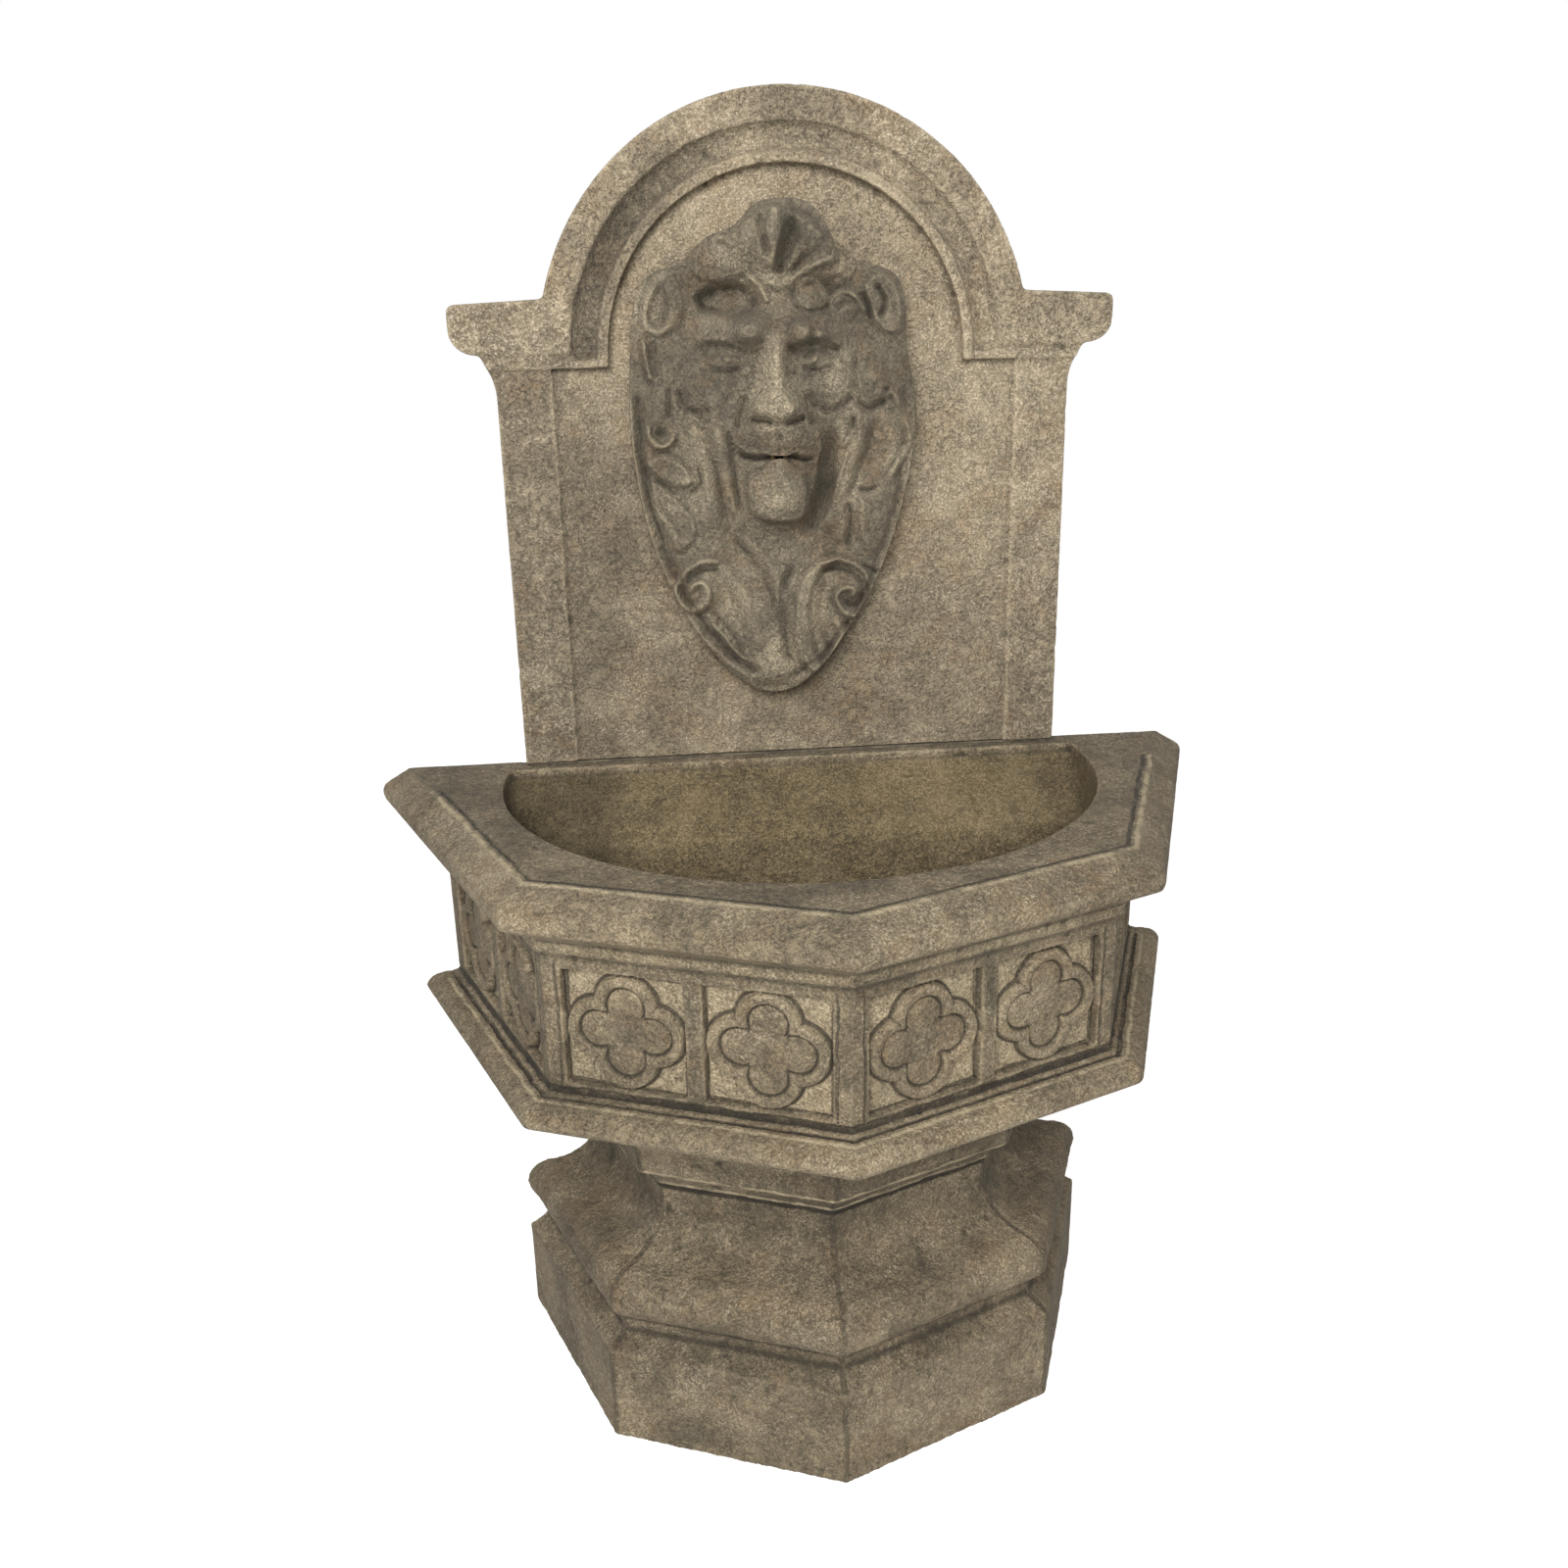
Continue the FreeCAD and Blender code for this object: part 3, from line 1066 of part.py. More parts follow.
def drain():
    """Brass drain through the bowl's floor, its nut, and the rubber stopper that lifts out."""
    top = V(0.0, DRAIN_Y, BOWL_FLOOR_Z)
    length = BOWL_FLOOR_Z - nut_room_top() + DRAIN_NUT_T + DRAIN_TAIL / 2.0
    bush = rod(DRAIN_R, length, top, DOWN)
    bush = bush.fuse(rod(DRAIN_FLANGE_R, DRAIN_FLANGE_T, top, DOWN)).removeSplitter()
    bush = bush.cut(rod(DRAIN_BORE_R, length, top, DOWN))
    nut_at = V(0.0, DRAIN_Y, nut_room_top() - DRAIN_NUT_T)
    nut = hexagon(DRAIN_NUT_AF, DRAIN_NUT_T, nut_at, UP)
    nut = nut.cut(rod(DRAIN_R, DRAIN_NUT_T, nut_at, UP))
    plug = rod(DRAIN_BORE_R - SLIDE_GAP, STOPPER_L, top, DOWN)
    plug = plug.fuse(rod(STOPPER_CAP_R, STOPPER_CAP_T, top, UP))
    ring_z = BOWL_FLOOR_Z + STOPPER_CAP_T + STOPPER_RING_R - STOPPER_RING_WIRE_R
    ring = Part.makeTorus(STOPPER_RING_R, STOPPER_RING_WIRE_R, V(0.0, DRAIN_Y, ring_z), BACK)
    return bush, nut, plug.fuse(ring).removeSplitter()


def cord_bung():
    """A rubber bung with the hole that the pump's cord would pass."""
    inner_y = BOWL_LOW_BACK_Y
    at = V(BUNG_X, inner_y - BUNG_HEAD_T, BUNG_Z)
    head = rod(BUNG_HEAD_R, BUNG_HEAD_T, at, BACK)
    body = rod(BUNG_R, BODY_BACK_Y - inner_y + BUNG_HEAD_T, at, BACK)
    return head.fuse(body).removeSplitter().cut(rod(BUNG_BORE_R, BIG, at, BACK))


def main():
    os.makedirs("parts", exist_ok=True)
    save("pedestal", pedestal())
    save("basin", basin())
    save("back_panel", back_panel())
    save("lion_mask", lion_mask())
    panel_joint, basin_joint, mask_joint = bedding()
    save("panel_bedding", panel_joint)
    save("basin_bedding", basin_joint)
    save("mask_bedding", mask_joint)
    save("basin_dowels", basin_dowels())
    save("panel_dowels", panel_dowels())
    save("mask_dowels", mask_dowels())
    save("hanger_plates", hanger_plates())
    save("hanger_screws", hanger_screws())
    save("riser_pipe", riser_pipe())
    save("spout_nozzle", spout_nozzle())
    fitting, washers, wall_nut, pipe_nut = bulkhead()
    save("bulkhead_fitting", fitting)
    save("bulkhead_washers", washers)
    save("bulkhead_nut", wall_nut)
    save("riser_nut", pipe_nut)
    save("pump_hose", pump_hose())
    save("hose_clamps", hose_clamps())
    save("pump_housing", pump_housing().fuse(well_bush_seat()).removeSplitter())
    save("cord_gland", cord_gland())
    core, coils, resin = stator()
    save("stator_core", core)
    save("stator_coils", coils)
    save("potting_resin", resin)
    shaft, bushes = shaft_parts()
    save("rotor_shaft", shaft)
    save("shaft_bushes", bushes)
    magnet, wheel = rotor()
    save("rotor_magnet", magnet)
    save("impeller", wheel)
    save("volute_cover", volute_cover())
    save("volute_seal", volute_seal())
    save("intake_strainer", intake_strainer())
    save("flow_dial", flow_dial())
    save("suction_cups", suction_cups())
    bush, nut, stopper = drain()
    save("drain_bushing", bush)
    save("drain_nut", nut)
    save("drain_stopper", stopper)
    save("cord_bung", cord_bung())


main()
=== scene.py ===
"""Looks of the garden wall fountain: worn cast-stone skins, carved lion mask, finishes, light and camera."""

import functools
import itertools
import math

import bpy
import numpy as np
from mathutils import Matrix, Vector


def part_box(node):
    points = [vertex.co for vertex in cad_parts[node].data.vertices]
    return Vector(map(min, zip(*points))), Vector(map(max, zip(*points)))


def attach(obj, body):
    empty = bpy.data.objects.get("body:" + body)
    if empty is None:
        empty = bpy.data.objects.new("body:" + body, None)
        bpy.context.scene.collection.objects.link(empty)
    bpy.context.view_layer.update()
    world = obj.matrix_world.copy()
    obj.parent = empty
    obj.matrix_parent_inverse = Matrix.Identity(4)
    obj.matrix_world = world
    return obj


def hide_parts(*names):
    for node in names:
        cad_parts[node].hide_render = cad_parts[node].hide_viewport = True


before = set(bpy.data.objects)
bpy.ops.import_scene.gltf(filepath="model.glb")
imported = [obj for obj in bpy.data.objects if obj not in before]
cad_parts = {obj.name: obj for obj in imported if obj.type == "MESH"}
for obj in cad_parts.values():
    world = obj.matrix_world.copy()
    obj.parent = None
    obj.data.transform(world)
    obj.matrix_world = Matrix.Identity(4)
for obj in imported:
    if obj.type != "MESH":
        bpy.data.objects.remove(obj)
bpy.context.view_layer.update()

MM = 0.001
AXIS_Y = 173.5 * MM
WHITE = (1.0, 1.0, 1.0, 1.0)

# Camera of the photograph: place, where it looks, and its lens
CAMERA_AT = Vector((-0.1626, -1.2957, 1.1556))
CAMERA_YAW = math.radians(5.8)
CAMERA_PITCH = math.radians(-18.8)
CAMERA_ROLL = math.radians(-1.1)
CAMERA_LENS = 32.54
CAMERA_SHIFT_X = -0.00225
CAMERA_SHIFT_Y = -0.00206
CAMERA_NEAR = 0.05

# Studio: one soft lamp in front and above on the left, and pale surroundings
LAMP_AT = (-0.65, -2.7, 2.35)
LAMP_AIM = (0.0, 0.0, 0.8)
LAMP_SIZE = 2.0
LAMP_WATTS = 123.0
LAMP_COLOUR = (1.0, 0.982, 0.955)
WORLD_COLOUR = (1.0, 0.985, 0.96, 1.0)
WORLD_STRENGTH = 0.335
FLOOR_SIZE = 40.0
FLOOR_GLOW = 0.72

# Fineness of the stone skins: their voxels, the tiles' step in millimetres, and rounds that ease the bowl
BASIN_VOXEL = 2.0 * MM
PANEL_VOXEL = 2.2 * MM
PEDESTAL_VOXEL = 2.3 * MM
MASK_VOXEL = 1.2 * MM
TILE_STEP = 1.0
BOWL_ROUNDS = 60

# What the stone's material reads at each point of a skin
LOOKS = ("hollow", "worn", "bloom", "grime", "damp", "shade")

# The basin's band of quatrefoils, in millimetres, as the CAD has it
FACE_TURNS = (-67.5, -22.5, 22.5, 67.5)
SIDES = (-0.5, 0.5)
HALF_SECTOR = 22.5
BAND_FLAT = 386.0 * math.cos(math.radians(HALF_SECTOR))
BAND_SINK = 13.0
TILE_BACK = 14.0
SQUARE = 119.0
SQUARE_PITCH = 138.0
SQUARE_Z = 518.5
LOBE_R = 32.5
LOBE_AT = 26.7
INNER_LOBE_R = 19.6
INNER_LOBE_AT = 26.6

# A quatrefoil tile in millimetres: how deep it lies, and how far its parts rise or sink from there
TILE_DEPTH = 8.8
TILE_EDGE_SINK = 1.2
RING_RISE = 6.0
RING_CROWN = 2.7
RING_GROOVE = 2.2
FIELD_SINK = 2.2
FIELD_CROWN = 0.9
FIELD_GROOVE = 3.2
CUSP_GROOVE = 0.9

# Zones of the basin in metres: each fades in over two numbers, and out over two more where there are four
RIM_Z = (0.64, 0.66)
BEVEL_Z = 0.60
FILLET_Z = (0.594, 0.598, 0.608, 0.614)
LOW_MOULDING_Z = (0.462, 0.452)
BAND_MM = (450.0, 604.0)
BOWL_WALL_R = (0.330, 0.318)
BOWL_BACK_Y = (AXIS_Y + 0.050, AXIS_Y + 0.040)
BOWL_LIP_Z = (0.664, 0.652)
BOWL_FLOOR_Z = 0.42
# The bowl's left end, which takes a painted shadow of the rim, its darker right end, and the low part that
# takes painted shade
BOWL_LEFT_X = (-0.165, -0.265)
BOWL_RIGHT_X = (0.170, 0.300)
BOWL_LOW_Z = (0.560, 0.480)

# Zones of the pedestal in the same way, and the heights of its two bands of painted shade in millimetres
PEDESTAL_Z = (0.004, 0.014, 0.326, 0.336)
PEDESTAL_OUTSIDE_R = (0.206, 0.222)
ROLL_Z = (0.110, 0.135, 0.190, 0.225)
NECK_Z = (0.215, 0.240, 0.285, 0.300)
PLINTH_TOP_MM = 120.0
CAP_FOOT_MM = 322.0

# Fillets with a painted highlight and quirks with painted shade under the pedestal's cap, in millimetres:
# height, how far out, half its height
CAP_LINES = ((298.5, 1.2, 4.0), (291.5, -3.2, 4.5), (274.5, 1.6, 4.5), (267.0, -3.0, 4.5))

# Painted highlights over partly worn arrises, and lines of painted shade beside them, in metres: a radius of
# the octagon, then half the line's width
RIM_WORN_HIGHLIGHT = (0.3990, 0.0042)
RIM_SHADE_LINE = (0.3905, 0.0030)
MOULDING_WORN_HIGHLIGHT = (0.4030, 0.0030)
MOULDING_SHADE_LINES = ((0.3945, 0.0030), (0.3850, 0.0026))

# Where those lines are: heights of the two tops, and the y from the basin's axis that ends them at the back
RIM_TOP = (0.6555, 0.6600)
MOULDING_TOP = (0.438, 0.442, 0.454, 0.458)
LINES_END_Y = -0.012
CAP_HIGHLIGHT_WIDTH = 0.0030
CAP_SHADE_LINE_WIDTH = 0.0034
POST_LINE_AT = 0.0125
POST_LINE_WIDTH = 0.0018

# The mask in millimetres: its middle, the plane that its carving was measured on, what is left of its back
# behind the carving, its mouth, and how much the strokes wander and stand out
MASK_X = -15.0
MASK_Z = 1000.0
MASK_PLANE_Y = 20.0
MASK_BACK = 6.0
MOUTH_Z = 1003.0
NOZZLE_FRONT_Y = 9.0
LIPS_REACH = (9.0, 24.0)
LIPS_OPEN = 0.06
STROKE_WANDER = 3.2
STROKE_GAIN = 1.12

# Wear of a stone skin in millimetres: depth of its pits, and the bend that counts as a full arris
PIT_DEPTH = 0.7
SHARP_BEND = 1.1

# The panel's arch in millimetres: its middle, and radii of its pale ring, its cove and its dark left part
ARCH_Z = 1100.0
RING_R = 187.0
COVE = (190.0, 198.0, 218.0, 228.0)
DARK_LEFT = (172.0, 190.0, 216.0, 228.0)
STRIP_EDGE_X = 243.0
STRIP_TOP_Z = 1090.0

# Weathered patches of the panel, and darker ones of which the first is a painted shadow right of the mask:
# share, then the middle's and the reach's x, y and z in millimetres
PANEL_PALE = ((0.55, 190, 30, 1060, 90, 80, 150), (0.25, -190, 30, 1120, 60, 80, 60),
              (0.2, 210, 30, 820, 80, 80, 120), (0.30, 290, 30, 1100, 50, 90, 40),
              (0.2, -190, 30, 1000, 60, 80, 130))
PANEL_SOIL = ((0.5, -190, 30, 840, 80, 80, 150), (0.35, -40, 30, 700, 220, 80, 70),
              (0.45, -270, 30, 740, 40, 80, 110))
PANEL_DARK = ((0.18, 140, 57, 930, 26, 60, 190), (0.75, -196, 30, 975, 46, 80, 100),
              (0.12, -150, 30, 880, 90, 80, 90))

# Patches of the mask, the dark ones painted shade in its hollows, on its cheeks and beside its chin, the pale
# ones patina: across, up and the reach of each in millimetres, and share
MASK_DARK = ((-54, 155, 36, 20, 0.5), (-88, 72, 26, 28, 0.45), (16, 128, 60, 14, 0.15),
             (112, 76, 14, 24, 0.7), (-122, -12, 24, 20, 1.0), (44, -30, 17, 48, 1.1), (16, 212, 11, 26, 0.8),
             (40, 214, 30, 14, 0.3), (-128, 92, 14, 30, 0.5), (84, -120, 24, 20, 0.5),
             (-70, 40, 20, 12, 0.4), (30, 88, 10, 18, 0.5))
MASK_PALE = ((66, 80, 20, 22, 0.6), (-2, 48, 24, 20, 0.9), (-4, 92, 15, 26, 0.7), (-2, -42, 30, 24, 0.55),
             (0, -214, 26, 26, 1.2), (-6, 174, 34, 16, 0.8), (-46, 196, 22, 14, 0.5), (74, -12, 13, 48, 0.7),
             (34, -152, 14, 42, 0.8), (-121, -52, 22, 32, 0.4), (126, 4, 12, 32, 0.5),
             (-132, 150, 16, 28, 0.7), (-60, -152, 34, 30, 0.5), (-82, 0, 22, 48, 0.5),
             (62, 186, 18, 12, 0.5), (-20, -104, 30, 26, 0.25))


# Colours

def linear(red, green, blue):
    """A colour given in 0-255 display values, as the shader wants it."""
    values = []
    for value in (red, green, blue):
        part = value / 255.0
        values.append(part / 12.92 if part <= 0.04045 else ((part + 0.055) / 1.055) ** 2.4)
    return (values[0], values[1], values[2], 1.0)


# Shader nodes

class Tree:
    """Short names for the nodes of a material or world. A value is a number, a colour or a node's output."""

    def __init__(self, holder):
        holder.use_nodes = True
        self.holder = holder
        self.nodes = holder.node_tree.nodes
        self.links = holder.node_tree.links
        self.place = None

    def put(self, socket, value):
        """Links a socket to another node's output, or sets its value."""
        if isinstance(value, bpy.types.NodeSocket):
            self.links.new(value, socket)
        else:
            socket.default_value = value

    def node(self, kind, inputs, output, **settings):
        """One output of a new node with these settings and inputs."""
        made = self.nodes.new("ShaderNode" + kind)
        for name, value in settings.items():
            setattr(made, name, value)
        for name, value in inputs.items():
            self.put(made.inputs[name], value)
        return made.outputs[output]

    def shader(self, name, value):
        """Sets or links one input of the material's shader."""
        self.put(self.nodes["Principled BSDF"].inputs[name], value)

    def noise(self, size, detail=3.0, rough=0.55, stretch=None, distort=0.0):
        """Noise whose lumps are about size metres across."""
        return self.node("TexNoise", {"Scale": 1.0 / size, "Detail": detail, "Roughness": rough,
                                      "Distortion": distort, "Vector": self.stretched(stretch)}, "Fac")

    def stretched(self, stretch):
        """Object coordinates, scaled along each axis where stretch asks for it."""
        if stretch is None:
            return self.place
        return self.node("Mapping", {"Scale": stretch, "Vector": self.place}, "Vector")

    def bands(self, axis, scale, distort):
        """Fine lines across an axis."""
        return self.node("TexWave", {"Scale": scale, "Distortion": distort, "Vector": self.place}, "Fac",
                         bands_direction=axis)

    def attribute(self, name):
        return self.node("Attribute", {}, "Fac", attribute_name=name)

    def spread(self, value, low, high, to_low=0.0, to_high=1.0):
        """Value stretched from low-high to to_low-to_high with soft ends, and clamped."""
        return self.node("MapRange", {"Value": value, "From Min": low, "From Max": high, "To Min": to_low,
                                      "To Max": to_high}, "Result", interpolation_type="SMOOTHSTEP")

    def between(self, value, low, low_top, high_top, high):
        """1 from low_top to high_top, fading to 0 at low and at high."""
        return self.times(self.spread(value, low, low_top), self.spread(value, high, high_top))

    def math(self, kind, first, second=0.0):
        return self.node("Math", {0: first, 1: second}, "Value", operation=kind)

    def times(self, first, second):
        return self.math("MULTIPLY", first, second)

    def plus(self, first, second):
        return self.math("ADD", first, second)

    def minus(self, first, second):
        return self.math("SUBTRACT", first, second)

    def most(self, values):
        """The largest of several values."""
        return functools.reduce(functools.partial(self.math, "MAXIMUM"), values)

    def gap(self, value, at):
        """How far a value is from a place, to either side."""
        return self.math("ABSOLUTE", self.minus(value, at))

    def line(self, value, at, half_width):
        """1 where a value is at a place, fading to 0 at half_width metres to each side."""
        return self.spread(self.gap(value, at), 0.25 * half_width, half_width, 1.0, 0.0)

    def coordinates(self):
        """Object coordinates as three numbers, with y measured from the basin's axis."""
        node = self.nodes.new("ShaderNodeSeparateXYZ")
        self.links.new(self.place, node.inputs["Vector"])
        return node.outputs["X"], self.minus(node.outputs["Y"], AXIS_Y), node.outputs["Z"]

    def octagon_radius(self, x, y):
        """The radius of the octagon, measured to its vertices, that a place is on."""
        outward = []
        for turn in FACE_TURNS:
            angle = math.radians(turn)
            outward.append(self.minus(self.times(x, math.sin(angle)), self.times(y, math.cos(angle))))
        return self.times(self.most(outward), 1.0 / math.cos(math.radians(HALF_SECTOR)))

    def mix(self, amount, first, second, kind="MIX"):
        """One colour into another by an amount."""
        return self.node("Mix", {"Factor": amount, "A": first, "B": second}, "Result", data_type="RGBA",
                         blend_type=kind)

    def blend(self, value, low, high, first, second):
        """From the first display colour to the second one, as a value goes from low to high."""
        return self.mix(self.spread(value, low, high), linear(*first), linear(*second))

    def coat(self, colour, value, low, high, share, paint):
        """A colour with a share of a display colour over it, where a value has gone from low to high."""
        return self.mix(self.times(self.spread(value, low, high), share), colour, linear(*paint))

    def bump(self, height, depth, strength):
        """A bump from a 0-1 height, depth metres deep."""
        return self.node("Bump", {"Strength": strength, "Distance": depth, "Height": height}, "Normal")

    def finish(self, colour, roughness, normal=None, metallic=0.0):
        self.shader("Base Color", colour)
        self.shader("Roughness", roughness)
        self.shader("Metallic", metallic)
        if normal is not None:
            self.shader("Normal", normal)
        return self.holder


def material_tree(name):
    """The nodes of a new material, with its object coordinates at hand."""
    t = Tree(bpy.data.materials.new(name))
    t.place = t.node("TexCoord", {}, "Object")
    return t


# Materials

def arris_lines(t):
    """Pale lines, part worn arris and part painted highlight, and dark lines of painted shade in quirks,
    grooves and beside the arrises of the basin and the pedestal, from where each place is.
    """
    x, y, z = t.coordinates()
    sway = t.minus(t.noise(0.028, 3.0, 0.6), 0.5)
    z = t.plus(z, t.times(sway, 0.010))
    x = t.plus(x, t.times(sway, 0.008))
    radius = t.octagon_radius(x, y)
    across = t.math("ABSOLUTE", x)
    side = t.times(t.plus(across, y), math.sqrt(0.5))
    rim_top = t.spread(z, *RIM_TOP)
    moulding_top = t.between(z, *MOULDING_TOP)
    worn_highlights = [t.times(rim_top, t.line(radius, *RIM_WORN_HIGHLIGHT))]
    worn_highlights.append(t.times(moulding_top, t.line(radius, *MOULDING_WORN_HIGHLIGHT)))
    shade_lines = [t.times(rim_top, t.line(radius, *RIM_SHADE_LINE))]
    shade_lines += [t.times(moulding_top, t.line(radius, *shade_line)) for shade_line in MOULDING_SHADE_LINES]
    # Painted highlights on the cap's fillets, painted shade in its quirks
    for height, out, _ in CAP_LINES:
        if out > 0.0:
            worn_highlights.append(t.line(z, height * MM, CAP_HIGHLIGHT_WIDTH))
        else:
            shade_lines.append(t.line(z, height * MM, CAP_SHADE_LINE_WIDTH))
    # Painted shade in the lines round the band's posts
    on_band = t.times(t.between(z, 0.452, 0.458, 0.582, 0.588), t.spread(radius, 0.364, 0.370))
    off_side = t.math("ABSOLUTE", side)
    post = t.most([t.line(place, POST_LINE_AT, POST_LINE_WIDTH) for place in (across, off_side)])
    shade_lines.append(t.times(on_band, t.times(post, 0.8)))
    # Painted shade down the front and side arrises under the lower moulding and on the pedestal
    below = t.times(t.spread(z, 0.445, 0.425), t.spread(radius, 0.355, 0.365))
    below = t.most([below, t.spread(z, 0.342, 0.336)])
    arris = t.most([t.line(across, 0.0, 0.0048), t.line(side, 0.0, 0.0050)])
    shade_lines.append(t.times(below, t.times(arris, 0.7)))
    front = t.math("LESS_THAN", y, LINES_END_Y)
    return t.times(front, t.most(worn_highlights)), t.times(front, t.most(shade_lines))


def cast_stone(name, dark, middle, light, cream, speckle=1.0, lines=True):
    """Weathered cast stone: clouded browns, cream flecks, cracks, grimy hollows with painted shade in them,
    painted shade and darker stone where a skin asks for them, and pale worn arrises with painted highlights
    and painted shade lines along them unless lines is off.
    """
    t = material_tree(name)
    middle, cream, dirt_and_shade = linear(*middle), linear(*cream), linear(64, 58, 47)
    cloud = t.noise(0.22, 4.0, 0.6, distort=0.3)
    mottle = t.noise(0.035, 5.0, 0.66)
    grain = t.noise(0.0042, 4.0, 0.7)
    grit = t.noise(0.0021, 2.0, 0.55)
    patches = t.noise(0.10, 6.0, 0.7, distort=0.5)
    crackle = t.noise(0.011, 5.0, 0.7, distort=0.5)
    veins = t.noise(0.013, 4.0, 0.65, distort=0.4)
    tint = t.noise(0.052, 5.0, 0.68)
    hollow, worn, bloom, grime, damp, shade = (t.attribute(look) for look in LOOKS)

    tone = t.plus(t.times(cloud, 0.5), t.times(mottle, 0.5))
    colour = t.blend(tone, 0.41, 0.59, dark, light)
    colour = t.mix(t.spread(tint, 0.50, 0.62, 0.0, 0.40), colour, linear(156, 122, 86))
    colour = t.mix(t.spread(tint, 0.44, 0.34, 0.0, 0.28), colour, linear(104, 103, 92))
    colour = t.mix(t.spread(crackle, 0.40, 0.58, 0.0, 0.6), colour, middle)
    pale_share = t.times(t.plus(t.times(t.spread(patches, 0.42, 0.60, 0.12, 0.9), speckle), bloom), 0.5)
    colour = t.mix(t.times(t.spread(grain, 0.50, 0.62), pale_share), colour, cream)
    fleck = t.mix(0.35, cream, (1.0, 0.96, 0.86, 1.0))
    colour = t.mix(t.times(t.spread(grit, 0.55, 0.63), pale_share), colour, fleck)
    colour = t.mix(t.times(bloom, 0.42), colour, cream)

    wet = t.blend(mottle, 0.35, 0.65, (118, 102, 70), (142, 125, 90))
    colour = t.mix(t.times(damp, 0.8), colour, wet)
    wet_specks = t.times(t.times(damp, t.spread(grit, 0.53, 0.60)), 0.5)
    colour = t.mix(wet_specks, colour, linear(186, 166, 126))

    colour = t.mix(t.times(t.spread(grit, 0.46, 0.36), 0.30), colour, dirt_and_shade)
    pocked = t.times(t.spread(grain, 0.46, 0.36), t.spread(patches, 0.56, 0.40))
    colour = t.mix(t.times(pocked, 0.42 * max(speckle, 0.5)), colour, dirt_and_shade)
    cracks = t.times(t.spread(t.gap(crackle, 0.5), 0.002, 0.016, 1.0, 0.0),
                     t.spread(patches, 0.62, 0.42, 0.1, 1.0))
    colour = t.mix(t.times(cracks, 0.30), colour, dirt_and_shade)
    pale_veins = t.times(t.spread(t.gap(veins, 0.5), 0.002, 0.022, 1.0, 0.0), t.spread(patches, 0.42, 0.60))
    colour = t.mix(t.times(pale_veins, 0.34 * speckle), colour, cream)
    colour = t.mix(t.times(t.spread(worn, 0.08, 0.85), 0.45), colour, cream)

    soil_mix = t.plus(t.times(patches, 0.6), t.times(grain, 0.4))
    # Grime, and painted shade where a skin puts it into this look: the pedestal's neck, the panel's cove and
    # the mask's dark patches
    grimed_and_shaded = t.times(grime, t.spread(soil_mix, 0.32, 0.60, 1.0, 0.3))
    colour = t.mix(grimed_and_shaded, colour, linear(90, 85, 72))
    # Painted shade and grime in hollows
    colour = t.mix(t.times(t.spread(hollow, 0.04, 0.9), 0.8), colour, dirt_and_shade)
    shaded = t.mix(1.0, colour, (0.42, 0.42, 0.42, 1.0), "MULTIPLY")
    colour = t.mix(t.times(shade, 0.85), colour, shaded)

    height = t.plus(t.times(grain, 0.8), t.plus(t.times(grit, 0.25), t.times(mottle, 0.9)))
    height = t.plus(height, t.plus(t.times(cracks, -0.3), t.times(crackle, 1.5)))
    if lines:
        worn_highlight, shade_line = arris_lines(t)
        broken = t.spread(mottle, 0.38, 0.54, 0.3, 1.0)
        # Pale lines of wear and painted highlight, and dark lines of painted shade
        colour = t.mix(t.times(t.times(worn_highlight, broken), 0.85), colour, linear(206, 190, 158))
        colour = t.mix(t.times(t.times(shade_line, broken), 0.78), colour, linear(46, 41, 33))
        height = t.plus(height, t.times(shade_line, -0.9))
    return t.finish(colour, t.spread(grain, 0.3, 0.7, 0.96, 0.84), t.bump(height, 0.0048, 0.95))


def plain_stone():
    return cast_stone("cast stone", (124, 111, 89), (148, 133, 108), (176, 159, 130), (218, 200, 166))


def panel_stone():
    return cast_stone("cast stone, panel", (134, 122, 103), (158, 144, 122), (184, 168, 141), (232, 214, 182))


def mask_stone():
    return cast_stone("mask stone", (106, 98, 84), (130, 120, 103), (154, 143, 122), (220, 204, 172),
                      speckle=0.3, lines=False)


def mortar():
    t = material_tree("bedding mortar")
    grain = t.noise(0.003, 4.0, 0.65)
    lumps = t.noise(0.02, 4.0, 0.6)
    colour = t.blend(lumps, 0.35, 0.65, (84, 76, 64), (120, 110, 94))
    colour = t.coat(colour, grain, 0.55, 0.7, 0.5, (150, 140, 122))
    return t.finish(colour, 0.95, t.bump(grain, 0.0012, 0.8))


def brushed_metal(name, bright, dull, stain, roughness, stretch):
    """Metal with fine drawn lines, dull patches and a little stain."""
    t = material_tree(name)
    lines = t.noise(0.004, 4.0, 0.6, stretch)
    patches = t.noise(0.018, 4.0, 0.6)
    spots = t.noise(0.003, 3.0, 0.6)
    colour = t.coat(t.blend(patches, 0.4, 0.65, bright, dull), spots, 0.58, 0.72, 0.6, stain)
    uneven = t.plus(t.times(lines, 0.5), t.times(patches, 0.5))
    rough = t.spread(uneven, 0.3, 0.7, roughness - 0.08, roughness + 0.16)
    return t.finish(colour, rough, t.bump(lines, 0.0002, 0.4), 1.0)


def stainless():
    return brushed_metal("stainless steel", (188, 188, 184), (150, 150, 146), (112, 96, 78), 0.32,
                         (1.0, 1.0, 12.0))


def brass():
    return brushed_metal("aged brass", (92, 78, 52), (70, 60, 42), (48, 46, 34), 0.6, (1.0, 9.0, 1.0))


